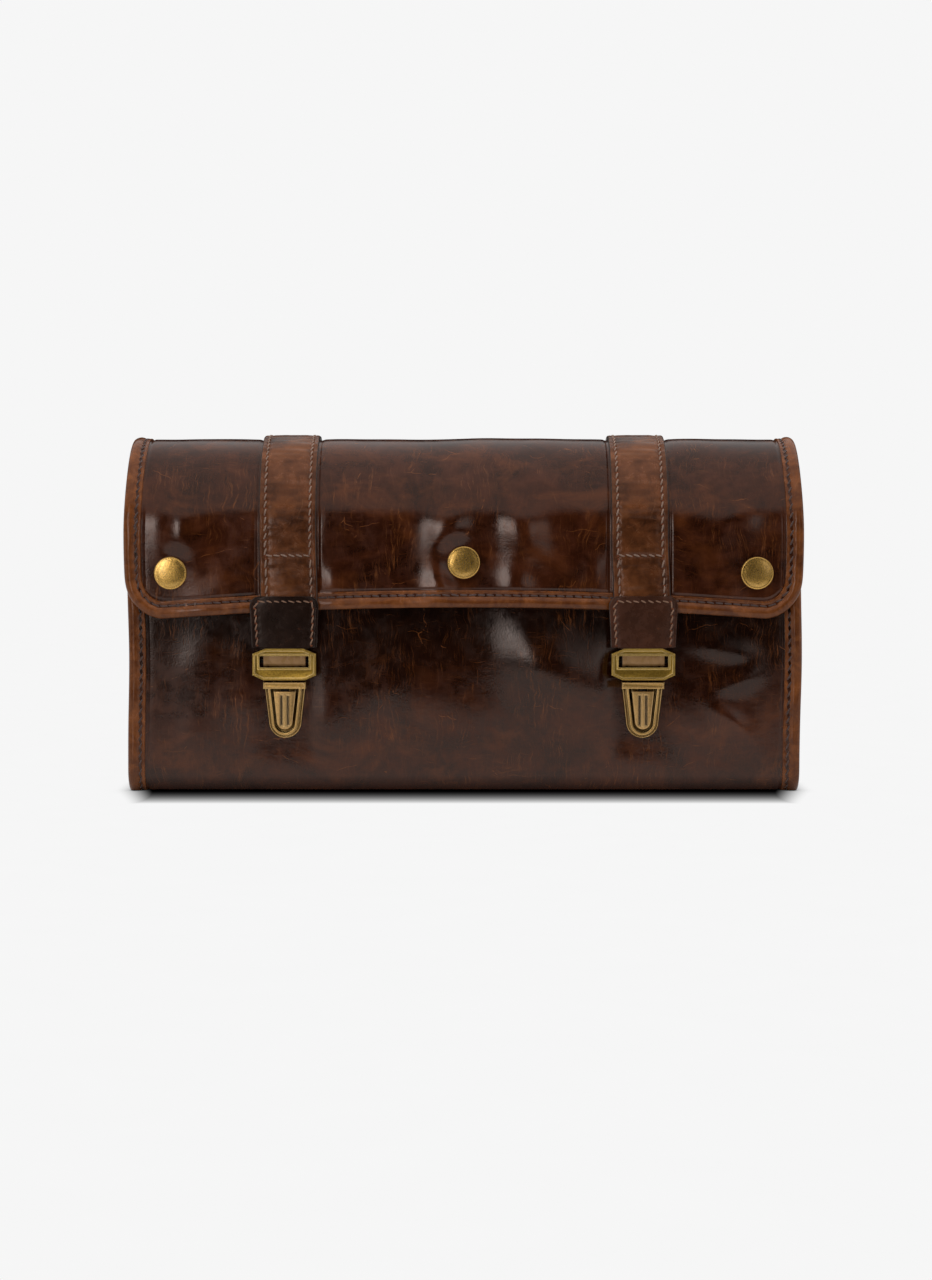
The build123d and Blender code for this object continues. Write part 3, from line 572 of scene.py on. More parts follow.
def leather(
    name, dark, mid, worn, rough=0.16, cloud=0.55, scratch=1.0, grain=1.0, level=0.5, warm=None, shadow=None
):
    """Waxed pull-up leather: cloudy colour, fibrous scratches that show the paler core, creases and pores.
    shadow is (from, to, strength) of a painted shade, a darkening of the colour along the hide."""
    t = Tree(name)
    where = t.pattern_at()
    wander = t.node("ShaderNodeTexNoise", {"Vector": where, "Scale": 0.5, "Detail": 3.0}, out="Color")
    drift = t.node("ShaderNodeVectorMath", {0: where, 1: wander}, operation="ADD")
    clouds = t.ramp(t.noise(where, 0.26, 5.0, 0.6, 0.8), 0.36, 0.64)
    mottle = t.ramp(t.noise(where, 1.5, 7.0, 0.66, 0.4), 0.36, 0.68)
    tone = t.add(t.mul(clouds, cloud), t.mul(mottle, 1 - cloud))
    colour = t.mix(tone, rgb(*dark), rgb(*mid))
    if warm:
        glow = t.noise(t.scaled(where, (1, 1.5, 1)), 0.42, 5.0, 0.62, 0.5)
        colour = t.mix(t.ramp(glow, 0.48, 0.72, 0.0, 0.55), colour, rgb(*warm))
    # painted shade: the colour darkens towards near-black along the hide
    if shadow:
        start, end, strength = shadow
        shade = t.ramp(t.split(where)["Y"], end, start, 0.0, strength)
        colour = t.mix(shade, colour, rgb(0.004, 0.0015, 0.0008))
    # hair-fine fibres, up and down and across, gathered in patches
    upright = t.noise(t.scaled(drift, (11.0, 0.8, 1), (0, 0, 0.10)), 1.0, 7.0, 0.78)
    across = t.noise(t.scaled(drift, (0.7, 12.0, 1), (0, 0, -0.12)), 1.0, 7.0, 0.76)
    patch_a = t.ramp(t.noise(where, 0.42, 3.0, 0.6), 0.46, 0.66)
    patch_b = t.ramp(t.noise(t.scaled(where, (1, 1, 1), (0, 0, 1.1)), 0.50, 3.0, 0.6), 0.50, 0.68)
    hairs = t.mul(t.ramp(upright, 0.50, 0.72), t.add(patch_a, 0.16), clamp=True)
    lines = t.mul(t.ramp(across, 0.54, 0.74), t.add(patch_b, 0.10), clamp=True)
    # sparse long cuts
    cells = {"Vector": t.scaled(drift, (0.20, 0.42, 1), (0, 0, 0.35)), "Scale": 1.0}
    cuts = t.node("ShaderNodeTexVoronoi", cells, feature="DISTANCE_TO_EDGE")
    breaks = t.ramp(t.noise(where, 0.8, 4.0, 0.7), 0.53, 0.60)
    cuts = t.mul(t.ramp(cuts, 0.007, 0.0), breaks)
    marks = t.math("MAXIMUM", t.mul(hairs, 0.66 * scratch), t.mul(lines, 0.55 * scratch))
    marks = t.math("MAXIMUM", marks, t.mul(cuts, 0.6 * scratch), clamp=True)
    colour = t.mix(marks, colour, rgb(*worn))
    pores = t.node("ShaderNodeTexVoronoi", {"Vector": drift, "Scale": 14.0}, feature="F1")
    creases = t.noise(t.scaled(where, (1.6, 2.6, 1)), 1.4, 4.0, 0.55, 0.5)
    height = t.add(t.mul(pores, 0.16 * grain), t.mul(creases, 0.36 * grain))
    shine = t.add(rough, t.mul(t.math("SUBTRACT", mottle, 0.5), 0.10))
    shine = t.add(shine, t.mul(marks, 0.14))
    wax = {"Specular_IOR_Level": 1.1 * level, "Specular_Tint": rgb(1.0, 0.82, 0.74)}
    return t.finish(Base_Color=colour, Roughness=shine, Normal=t.bump(height, 0.00010), **wax)


def edge_paint(name, colour, rough=0.36):
    """The burnished paint on a cut leather edge."""
    t = Tree(name)
    where = t.pattern_at()
    speck = t.noise(where, 9.0, 3.0)
    tint = t.mix(t.ramp(speck, 0.35, 0.7), rgb(*colour), rgb(*(1.9 * c for c in colour)))
    return t.finish(Base_Color=tint, Roughness=rough, Normal=t.bump(speck, 0.0001), Specular_IOR_Level=0.3)


def thread(name, colour, shade):
    """Waxed twisted thread."""
    t = Tree(name)
    where = t.scaled(t.object_at(), (1000, 1000, 1000))
    twist = t.node("ShaderNodeTexWave", {"Vector": where, "Scale": 0.9, "Distortion": 2.0, "Detail": 1.0})
    tint = t.mix(twist, rgb(*shade), rgb(*colour))
    tint = t.mix(t.ramp(t.noise(where, 0.06, 2.0), 0.42, 0.62, 0.0, 0.55), tint, rgb(*shade))
    return t.finish(Base_Color=tint, Roughness=0.6, Normal=t.bump(twist, 0.0001), Sheen_Weight=0.2)


def cloth(name, colour, shade, pitch=0.55, rib=False):
    """A plain-woven cotton drill, or ribbed elastic."""
    t = Tree(name)
    where = t.pattern_at()
    yarn = {"Vector": where, "Scale": 10 / pitch / 6.28, "Distortion": 0.6, "Detail Scale": 3.0}
    warp, weft = (t.node("ShaderNodeTexWave", yarn, out="Fac", bands_direction=axis) for axis in "XY")
    weave = warp if rib else t.mul(warp, weft)
    slub = t.noise(t.scaled(where, (1.0, 9.0, 1.0)), 2.0, 4.0)
    tint = t.mix(weave, rgb(*shade), rgb(*colour))
    tint = t.mix(t.ramp(slub, 0.4, 0.7, 0.0, 0.35), tint, rgb(*shade))
    return t.finish(Base_Color=tint, Roughness=0.85, Normal=t.bump(weave, 0.00018), Sheen_Weight=0.25)


def metal(name, rubbed, face, black, rough=0.30, spots=0.6, scale=14.0, edges=True, coat=0.0, flutes=None):
    """Aged brass or steel: black in the deepest recesses, partly patina and partly painted shade, mottled on
    its faces, rubbed bright on its edges.
    flutes: distance from the lock's middle, half width, lowest and highest z of a pair of hollows, bumped into
    the relief and darkened with painted shade and patina."""
    t = Tree(name)
    where = t.scaled(t.object_at(), (100, 100, 100))
    mottle = t.noise(where, scale, 4.0, 0.6)
    drawn = t.noise(t.scaled(where, (26.0, 26.0, 2.0)), 1.6, 2.0, 0.6)
    tint = t.mul(t.ramp(mottle, 0.36, 0.66), spots)
    tint = t.add(tint, t.mul(t.ramp(drawn, 0.4, 0.7), 0.25), clamp=True)
    colour = t.mix(tint, rgb(*face), rgb(*(0.52 * c for c in face)))
    relief = mottle
    if flutes:
        middle, half, low, high = (MM * v for v in flutes)
        at = t.split(t.object_at())
        off = t.math("ABSOLUTE", t.math("SUBTRACT", t.math("ABSOLUTE", at["X"]), LOCK_X * MM))
        lane = t.ramp(t.math("ABSOLUTE", t.math("SUBTRACT", off, middle)), half, 0.35 * half)
        lane = t.mul(lane, t.ramp(at["Z"], low, low + 1.5 * MM))
        lane = t.mul(lane, t.ramp(at["Z"], high + 0.3 * MM, high))
        # painted shade and patina in the flutes, which are only a bump in the relief
        colour = t.mix(t.mul(lane, 0.92), colour, rgb(0.055, 0.040, 0.030))
        relief = t.math("SUBTRACT", mottle, t.mul(lane, 6.0))
    shine = t.add(rough, t.mul(tint, 0.12))
    if edges:
        soft = t.node("ShaderNodeBevel", {"Radius": 0.0007}, samples=6)
        plain = t.node("ShaderNodeNewGeometry", out="Normal")
        turn = t.node("ShaderNodeVectorMath", {0: soft, 1: plain}, out="Value", operation="DOT_PRODUCT")
        worn = t.mul(t.ramp(turn, 0.994, 0.92), t.ramp(mottle, 0.30, 0.46, 0.55, 1.0))
        # painted shade and patina: the colour goes black where ambient occlusion finds recesses and
        # neighbouring parts
        hollow = t.node("ShaderNodeAmbientOcclusion", {"Distance": 0.0026}, samples=6, out="AO")
        colour = t.mix(t.ramp(hollow, 0.90, 0.56, 0.0, 0.78), colour, rgb(*black))
        colour = t.mix(worn, colour, rgb(*rubbed))
        colour = t.mix(t.ramp(hollow, 0.50, 0.26), colour, rgb(*black))
    coated = {"Metallic": 1.0, "Coat_Weight": coat, "Coat_Roughness": 0.12}
    return t.finish(Base_Color=colour, Roughness=shine, Normal=t.bump(relief, 0.00005), **coated)


# painted shade: the front's colour darkens up to where the flap covers it
UNDER_FLAP_PAINTED_SHADE = ((MOUTH_Z - 76) * PAT, (MOUTH_Z - 26) * PAT, 0.80)
LEATHER = leather(
    "leather_body",
    dark=(0.018, 0.0038, 0.0013),
    mid=(0.074, 0.0175, 0.0058),
    worn=(0.29, 0.088, 0.020),
    warm=(0.145, 0.038, 0.0095),
    shadow=UNDER_FLAP_PAINTED_SHADE,
)
BINDING = leather(
    "leather_binding",
    dark=(0.105, 0.027, 0.006),
    mid=(0.295, 0.088, 0.019),
    worn=(0.40, 0.155, 0.058),
    rough=0.23,
    cloud=0.35,
    scratch=0.5,
    level=0.42,
)
STRAP = leather(
    "leather_strap",
    dark=(0.030, 0.0080, 0.0027),
    mid=(0.200, 0.060, 0.017),
    worn=(0.24, 0.09, 0.035),
    warm=(0.30, 0.105, 0.036),
    rough=0.24,
    cloud=0.5,
    scratch=0.6,
    grain=1.6,
    level=0.36,
)
TAB_DARK = leather(
    "leather_tab_left",
    dark=(0.010, 0.0042, 0.0026),
    mid=(0.022, 0.0085, 0.0045),
    worn=(0.16, 0.040, 0.010),
    rough=0.26,
    scratch=0.35,
    grain=0.8,
    level=0.25,
)
TAB_BROWN = leather(
    "leather_tab_right",
    dark=(0.045, 0.016, 0.0085),
    mid=(0.098, 0.034, 0.018),
    worn=(0.24, 0.075, 0.022),
    rough=0.28,
    scratch=0.45,
    grain=0.8,
    level=0.30,
)
# the loop's paler colour is partly pull-up paling at the bend and partly painted highlight
LOOP_PULLUP_AND_HIGHLIGHT = leather(
    "leather_tab_loop",
    dark=(0.36, 0.19, 0.065),
    mid=(0.56, 0.32, 0.14),
    worn=(0.6, 0.4, 0.2),
    rough=0.30,
    cloud=0.6,
    scratch=0.3,
    grain=0.5,
)
BOARD = leather(
    "leather_board",
    dark=(0.075, 0.040, 0.022),
    mid=(0.13, 0.075, 0.042),
    worn=(0.20, 0.12, 0.07),
    rough=0.75,
    scratch=0.5,
    level=0.2,
)
EDGE = edge_paint("edge_paint", (0.040, 0.027, 0.022))
# painted shade: a near-black lens sunk in each needle hole
HOLE_SHADE = edge_paint("needle_hole_shade", (0.0035, 0.0014, 0.0008), rough=0.8)
# each: material, half length and width, depth of the rim and the middle
HOLE_SHADE_LENSES = (HOLE_SHADE, (0.36, 0.30), 0.22, 0.16)
KNOTS = (edge_paint("thread_knots", (0.135, 0.036, 0.011), rough=0.5), (0.46, 0.80), 0.24, -0.12)
THREAD_DARK = thread("thread_brown", (0.155, 0.090, 0.076), (0.070, 0.035, 0.027))
THREAD_PALE = thread("thread_pale", (0.48, 0.32, 0.24), (0.27, 0.15, 0.10))
THREAD_TAB = thread("thread_tab", (0.44, 0.25, 0.155), (0.26, 0.12, 0.065))
THREAD_TAN = thread("thread_tan", (0.30, 0.20, 0.12), (0.14, 0.09, 0.05))
LINING = cloth("lining_drill", (0.30, 0.225, 0.145), (0.19, 0.135, 0.085))
ELASTIC = cloth("elastic_rib", (0.050, 0.034, 0.026), (0.016, 0.011, 0.009), pitch=1.1, rib=True)
BLACK = (0, 0, 0)
# the second colour blackens the recesses of the case and button, partly patina and partly painted shade
GILT, PATINA_AND_SHADE_BLACK = (1.0, 0.68, 0.30), (0.010, 0.006, 0.003)
BRASS = metal(
    "brass_caps", BLACK, (0.86, 0.50, 0.125), BLACK, rough=0.25, spots=0.22, scale=9.0, edges=False, coat=0.5
)
PLATE = metal(
    "brass_antique_plate", (1.0, 0.70, 0.28), (0.43, 0.255, 0.042), (0.012, 0.008, 0.003), spots=0.8
)
CASE = metal("brass_antique_case", GILT, (0.60, 0.345, 0.105), PATINA_AND_SHADE_BLACK)
BUTTON = metal(
    "brass_antique_button",
    (1.0, 0.68, 0.32),
    (0.70, 0.42, 0.16),
    PATINA_AND_SHADE_BLACK,
    spots=0.5,
    flutes=(1.55, 0.85, 29.5, 43.2),
)
STEEL = metal("steel_plated", (0.6, 0.58, 0.55), (0.46, 0.44, 0.41), (0.02, 0.02, 0.02), rough=0.4)


# ---- Leather, lining and bindings ----------------------------------------------------------------
def edge_s(x):
    """Path length of the flap's lower edge, without its round corners."""
    a = np.abs(x)
    drop = EDGE_RISE * np.clip(a / EDGE_ARCH_X, 0, 1) ** 2 + 0.04 * np.clip(a - EDGE_ARCH_X, 0, None)
    return flap_s(EDGE_Z + EDGE_RISE - drop)


def corner_s(x, inset):
    """Path length of the flap's outline, with its round corners, moved in by inset."""
    a, r = np.abs(x), CORNER_R - inset
    into = np.clip(a - (HALF_W - CORNER_R), 0, r)
    return edge_s(x) - inset - (r - np.sqrt(np.clip(r * r - into * into, 0, None)))


def columns(limit, coarse, hems):
    """Grid positions across the bag: coarse everywhere, close together beside each hem."""
    x = list(np.arange(-limit, limit + 0.01, coarse))
    for hem in hems:
        for sign in (-1, 1):
            x += [sign * hem + d for d in (-2.0, -1.4, -0.9, -0.5, -0.2, 0.1, 0.4, 0.8, 1.3, 2.0)]
    x = np.unique(np.round([v for v in x if abs(v) <= limit], 3))
    return x[np.concatenate([[True], np.diff(x) > 0.22])]


STRAP_HEMS = (STRAP_X - STRAP_HALF - 0.6, STRAP_X + STRAP_HALF + 0.6)
BINDING_HEM = HALF_W - BINDING_W - 0.5


def pressed_map(u, v, d):
    """The leather's outer face, nipped in beside the straps and along the bound edges."""
    nip = 0.45 * bell(np.abs(u) - BINDING_HEM, 0.8)
    nip = np.maximum(nip, 0.38 * bell(v - corner_s(u, BINDING_W + 0.3), 0.6))
    beside = np.minimum(np.abs(np.abs(u) - STRAP_HEMS[0]), np.abs(np.abs(u) - STRAP_HEMS[1]))
    along = fade(v, back_s(REAR_LOW[2]) - 2, back_s(REAR_LOW[2]) + 2)
    nip = np.maximum(nip, 0.50 * bell(beside, 1.0) * along)
    return skin_map(u, v, d + np.where(d < 0.1, nip, 0))


def leather_panels():
    """The outer leather: the front with half the base, and the rest round the back and down the flap."""
    inset = 3.0
    x = columns(HALF_W - inset, 1.75, (BINDING_HEM,))
    u, v = np.meshgrid(x, np.linspace(0.3, S_MID, 94))
    front = slab("leather_front", u, v, 0.0, SKIN_T, pressed_map, LEATHER, flip=True)
    fix(front, "leather_body", "bag", "body_wrap")
    x = columns(HALF_W - inset, 1.75, STRAP_HEMS + (BINDING_HEM,))
    t = np.concatenate([np.linspace(0, 0.968, 204), np.linspace(0.970, 1, 24)])[:, None]
    v = S_MID + t * (corner_s(x, inset)[None] - S_MID)
    u = np.broadcast_to(x[None], v.shape)
    # thinner at the fold, so that it stays inside the lining when the flap opens
    hidden = SKIN_T - 0.9 * bell(v - S_HINGE - 8, 24, 4)
    back = slab("leather_back_flap", u, v, 0.0, hidden, pressed_map, LEATHER, flip=True)
    over_fold(back, "leather_body", "flap_skin")


def linings():
    """The lining in the same two pieces, narrower where it lies between the gussets."""
    inner, outer = GUSSET_LOW[0] - 0.1, HALF_W - (BINDING_W - 0.2)
    u, v = np.meshgrid(np.linspace(-inner, inner, 95), np.linspace(0.3, S_MID, 50))
    front = slab("lining_front", u, v, LINING_TOP, LINING_FLOOR, skin_map, LINING, flip=True)
    fix(front, "lining", "bag", "body_lining")
    x = np.linspace(-outer, outer, 96)
    t = np.linspace(0, 1, 220)
    v = S_MID + t[:, None] * (corner_s(x, BINDING_W - 0.2)[None] - S_MID)
    u = x[None] * (1 - (1 - inner / outer) * (1 - fade(t, 0.40, 0.46)))[:, None]
    top = LINING_TOP - 0.5 * bell(v - S_HINGE - 8, 22, 4)
    back = slab("lining_back_flap", u, v, top, LINING_FLOOR, skin_map, LINING, flip=True)
    over_fold(back, "lining", "flap_lining")


# a binding's outer face: distance in from the bound edge, and height
BIND_SHAPE = [(7.74, -0.6), (7.7, 0.0), (7.55, 0.34), (7.2, 0.42), (6.8, 0.40), (6.4, 0.32), (6.1, 0.22)]
BIND_SHAPE += [(5.85, 0.14), (5.6, 0.08), (5.35, 0.12), (5.1, 0.22), (4.8, 0.40), (4.4, 0.62), (3.8, 0.84)]
BIND_SHAPE += [(3.0, 0.98), (2.2, 0.98), (1.5, 0.84), (0.9, 0.58), (0.45, 0.24), (0.15, -0.25), (0.02, -0.95)]
BIND_W, BIND_RISE = np.array(BIND_SHAPE).T
STITCH_W = 5.55  # the stitches' distance in from the bound edge
STITCH_PITCH = 3.9


def binding(name, path, holes):
    """A folded leather strip along a path of outer-edge points in the (x, s) plane."""
    run = run_length(path)
    n = len(BIND_W)
    rings, pats = [], []
    wobble, swell = waves(21, 7, 22, 8), waves(22, 16, 50, 6)
    w = np.concatenate([BIND_W, BIND_W[::-1]])
    for at, p, m in zip(run, path, normals_2d(path)):
        x, s = p[0] + m[0] * BIND_W, p[1] + m[1] * BIND_W
        drawn = dimple(x, s, holes, 0.55, 1.0)
        full = 1 + 0.16 * swell(at, 0.0)
        rise = (BIND_RISE * full + 0.05 * wobble(at * np.ones(n), BIND_W) - drawn) * proud(p[0], p[1])
        rise = np.where(BIND_RISE < 0, BIND_RISE, rise)
        d = np.concatenate([-rise, edge_thickness(p[1]) + 0.6 * rise[::-1]])
        rings.append(skin_map(p[0] + m[0] * w, p[1] + m[1] * w, d))
        pats.append(np.stack([w + 40, np.full(2 * n, at), d], -1))
    verts, faces = tube(rings, flip=True)
    return make(name, verts, faces, BINDING, np.concatenate(pats))


def proud(x, s):
    """How much the binding puffs: nothing on the base, where it is flat, and little under a strap."""
    on_base = fade(s, S_CORNER + 12, S_BASE) * (1 - fade(s, S_HEEL, S_BACK - 12))
    under = bell(abs(x) - STRAP_X, STRAP_HALF + 4, 6)
    return float((1 - on_base) * (1 - 0.7 * under))


def edge_thickness(s):
    """The bound edge is thicker on the body, where it takes the gusset's flange, than on the flap."""
    return float(BODY_EDGE_T + (LINING_FLOOR - BODY_EDGE_T) * fade(s, S_HINGE - 6, S_HINGE + 4))


def flap_path():
    """The bound edge from the middle of the base, up the back, round the flap and down again."""
    corner = np.linspace(0, math.pi / 2, 24)[1:-1]
    cx = HALF_W - CORNER_R
    side_end = edge_s(HALF_W) - CORNER_R
    left = [(-HALF_W, s) for s in np.arange(S_MID, side_end, 1.0)]
    arc = [(-cx - CORNER_R * math.cos(a), side_end + CORNER_R * math.sin(a)) for a in corner]
    low = [(x, float(edge_s(x))) for x in np.arange(-cx, cx + 0.1, 1.0)]
    half = left + arc + low
    right = [(-x, s) for x, s in reversed(left + arc)]
    line, _ = resample(half + right, 1.0)
    return resample(smooth_path(line, 2, 4), 0.8)[0]


def bindings():
    """The bound edges with their stitches: round the back and the flap, and up each side of the front."""
    path = flap_path()
    row = path + normals_2d(path) * STITCH_W
    holes = stitch_row(row, STITCH_PITCH)[3]
    over_fold(binding("binding_back_flap", path, holes), "leather_binding", "flap_binding")
    look = {"pitch": STITCH_PITCH, "slant": 4.0, "lean": 26.0}
    sewn = stitches("stitches_back_flap", row, skin_map, -0.02, THREAD_DARK, hole=HOLE_SHADE_LENSES, **look)
    inner = row[len(row) // 4 : -(len(row) // 4)]
    under = LINING_FLOOR + 0.05
    sewn += stitches("stitches_flap_inside", inner, skin_map, under, THREAD_DARK, side=-1, **look)
    for o in sewn:
        over_fold(o, "leather_binding")
    for side, sign in (("left", -1), ("right", 1)):
        ends = [(sign * HALF_W, s) for s in np.arange(0.0, S_MID + 0.5, 1.0)][::-sign]
        path = resample(ends, 0.8)[0]
        row = path + normals_2d(path) * STITCH_W
        strip = binding(f"binding_front_{side}", path, stitch_row(row, STITCH_PITCH)[3])
        fix(strip, "leather_binding", "bag", f"{side}_body_binding")
        for o in stitches(f"stitches_front_{side}", row, skin_map, -0.02, THREAD_DARK, hole=HOLE_SHADE_LENSES, **look):
            fix(o, "leather_binding", "bag")


def mouth():
    """The strip folded over the front panel's upper edge, with its stitches."""
    half = GUSSET_LOW[0] - 0.05
    top, drop = MOUTH_HIGH[2] - MOUTH_Z, MOUTH_HIGH[2] - MOUTH_LOW[2]
    seam = 4.2 - top
    w = np.array([drop, drop, drop - 0.5, 5.2, 4.6, 4.2, 3.8, 3.2, 2.0, 1.0, 0.4, 0.0]) - top
    rise = np.array([0.1, 0.45, 0.7, 0.75, 0.6, 0.5, 0.6, 0.75, 0.85, 0.75, 0.45, -0.2])
    loop = np.concatenate([w, w[::-1]]), np.concatenate([-rise, LINING_FLOOR + rise[::-1]])

    def place(s, x, d):
        return skin_map(x, s, d)

    strip = ribbon("binding_mouth", np.arange(-half, half + 0.1, 2.0), lambda t: loop, place, BINDING)
    fix(strip, "leather_binding", "bag", "mouth_binding")
    row = np.array([(-half + 2, seam), (half - 2, seam)])
    for o in stitches("stitches_mouth", row, skin_map, -0.5, THREAD_DARK, pitch=STITCH_PITCH):
        fix(o, "leather_binding", "bag")


# ---- Gussets -------------------------------------------------------------------------------------
GUSSET_T = 1.2
GUSSET_ARCH, GUSSET_ARCH_BACK = 36.3, 40.1  # radii of the side panel's top


def gusset_span(z):
    """The front and back edges of the side panel at a height."""
    r = BASE_R - LINING_TOP
    front, back = FRONT_Y + LINING_TOP + 0.05, BACK_Y - LINING_TOP - 0.05
    low = np.sqrt(np.clip(r * r - np.clip(BASE_R - z, 0, r) ** 2, 0, None))
    y0 = np.where(z < BASE_R, FRONT_Y + BASE_R - low, front)
    y1 = np.where(z < BASE_R, BACK_Y - BASE_R + low, back)
    up = np.clip(z - TOP_Z, 0, GUSSET_ARCH - 0.2)
    reach = np.sqrt(GUSSET_ARCH**2 - up * up)
    reach_back = np.minimum(reach + 2.3, np.sqrt(np.clip(GUSSET_ARCH_BACK**2 - up * up, 0, None)))
    over = z > TOP_Z
    return np.where(over, TOP_Y - reach, y0), np.where(over, TOP_Y + reach_back, y1)


def gussets():
    """The end panels, bowed outward, with a soft fold down the middle."""
    z = np.concatenate([1.9 + 18 * (1 - np.cos(np.linspace(0, math.pi / 2, 12))), np.linspace(21, TOP_Z, 40)])
    z = np.concatenate([z, TOP_Z + 36.0 * np.sin(np.linspace(0.05, math.pi / 2, 22))])
    t = np.linspace(0, 1, 34)[None]
    y0, y1 = gusset_span(z)
    y = y0[:, None] + (y1 - y0)[:, None] * t
    zz = np.broadcast_to(z[:, None], y.shape)
    dent = waves(14, 30, 60, 8)
    hug = np.sin(math.pi * t) ** 0.8 * np.clip(zz / 25, 0, 1) * np.clip((158 - zz) / 45, 0, 1)
    fold = 1.6 * bell(y - 1, 5.0) * fade(zz, 40, 120)
    bow = hug * (1.3 + 0.5 * dent(y, zz)) - fold * hug
    for side, sign in (("left", -1), ("right", 1)):

        def place(u, v, d):
            return np.stack([sign * (GUSSET_LOW[0] + GUSSET_T - d + bow), u, v], -1)

        panel = slab(f"gusset_panel_{side}", y, zz, 0.0, GUSSET_T, place, LEATHER, flip=sign > 0)
        fix(panel, "leather_body", "bag", f"{side}_gusset")


# ---- Straps --------------------------------------------------------------------------------------
def strap_loop():
    """The strap's cross-section as (across, height over its underside), and which faces are painted edge."""
    h, t = STRAP_HALF, STRAP_T
    top = [(-h + 0.05, 0.55 * t), (-h + 0.12, 0.8 * t), (-h + 0.4, 0.96 * t), (-h + 0.9, t + 0.06)]
    top += [(-h + 1.5, t + 0.10), (-h + 2.0, t + 0.04), (-h + 2.4, t - 0.10), (-h + 2.8, t - 0.20)]
    top += [(-h + 3.2, t - 0.12), (-h + 3.8, t + 0.04), (-h + 4.8, t + 0.16)]
    top += [(-h + 6.5, t + 0.22), (-h / 4, t + 0.26)]
    right = [(-w, d) for w, d in reversed(top)]
    ring = [(-h, 0.45 * t)] + top + [(0.0, t + 0.27)] + right + [(h, 0.45 * t)]
    ring += [(h - 0.03, 0.2 * t), (h - 0.3, 0.0), (h / 2, -0.02)]
    ring += [(-h / 2, -0.02), (-h + 0.3, 0.0), (-h + 0.03, 0.2 * t)]
    w, up = np.array(ring).T
    painted = np.zeros(len(w), int)
    edge = (np.abs(w) > h - 0.45) & (np.abs(np.roll(w, -1)) > h - 0.45)
    painted[edge] = 1
    return w, up, painted


STITCH_ROW = STRAP_HALF - 2.8
STRAP_PITCH = 3.45
SEAM_Z, BEND_Z = 104.0, 96.0  # the cross stitch, and the end of the bend below it


def strap_step(s):
    """How far the free strap end stands off the flap, to clear the flap's bound edge."""
    return STRAP_STEP * fade(s, flap_s(103), flap_s(92))


def strap_drift(x0, s):
    """The straps lean a little to one side as they hang."""
    return np.where(x0 > 0, 0.9, 0.5) * fade(s, flap_s(112), flap_s(88))


def strap_map(x0):
    """Places points of a strap centred on x0; depth counts down from its underside."""

    def place(w, s, d):
        return skin_map(w + x0 + strap_drift(x0, s), s, d - 0.05 - strap_step(s))

    return place


CRUMPLE = waves(44, 2.6, 6.5, 14)


def strap_creases(w, s):
    """Fine folds across the strap where it bends over the top and where it hangs free."""
    over = fade(s, S_TOP + 30, S_TOP + 60) * (1 - fade(s, S_FLAP - 4, S_FLAP + 12))
    loose = fade(s, flap_s(SEAM_Z), flap_s(101))
    folds = 0.07 * over * CRUMPLE(w * 0.12, s)
    return folds + 0.10 * loose * CRUMPLE(w * 0.35, s) + 0.04 * CRUMPLE(s * 0.6, w)


def hang(obj, part, side, *replaced):
    """Hides the CAD nodes a strap piece stands for; a piece of the free end is fixed to the free strap's body
    and given its own copy of its mesh.
    """
    slot, body = "leather_strap", f"{side}_free_strap"
    if part == "sewn":
        return over_fold(obj, slot, *replaced)
    stand_for(obj, slot, replaced)
    if part == "bend":
        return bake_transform(obj, "flap", body, start=metres(0, -46, SEAM_Z), end=metres(0, -46, BEND_Z + 0.5))
    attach(obj, body)
    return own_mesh(obj, f"{side}_tongue_release", axis=(0, 0, 1), anchor=metres(0, 0, BEND_Z), keep=0.74)


def straps():
    """Both straps: the sewn run, the bend below the cross stitch, and the free end inside the tab."""
    w, up, painted = strap_loop()
    on_top = up > 0.75 * STRAP_T
    s_seam, s_bend = flap_s(SEAM_Z), flap_s(BEND_Z)
    runs = (
        ("sewn", np.linspace(back_s(REAR_LOW[2]), s_seam, 470), ("flap_strap", "rear_strap")),
        ("bend", np.linspace(s_seam, s_bend, 14), ()),
        ("end", np.linspace(s_bend, flap_s(END_LOW[2]), 48), ("strap_end",)),
    )
    look = {"pitch": STRAP_PITCH, "radius": 0.36, "slant": 15.0}
    for side, sign in (("left", -1), ("right", 1)):
        place = strap_map(sign * STRAP_X)
        for part, along, nodes in runs:
            first, last = (along[0] + 2.8, along[-1] - 1.6) if part == "sewn" else (along[0], along[-1])
            rows = [np.array([(r, first), (r, last)]) for r in (-STITCH_ROW, STITCH_ROW)]
            if part == "sewn":
                rows += [np.array([(-STITCH_ROW, e), (STITCH_ROW, e)]) for e in (last, first)]
            holes = np.concatenate([stitch_row(row, STRAP_PITCH)[3] for row in rows])

            def loop(s):
                crown = np.where(on_top, strap_creases(w, s) - dimple(w, s + 0 * w, holes, 0.4, 0.9), 0)
                return w, -(up + crown)

            piece = ribbon(f"strap_{side}_{part}", along, loop, place, [STRAP, EDGE], painted, flip=True)
            hang(piece, part, side, *(f"{side}_{node}" for node in nodes))
            for k, row in enumerate(rows):
                name = f"stitches_strap_{side}_{part}_{k}"
                for o in stitches(name, row, place, -(STRAP_T - 0.06), THREAD_PALE, hole=KNOTS, **look):
                    hang(o, part, side)


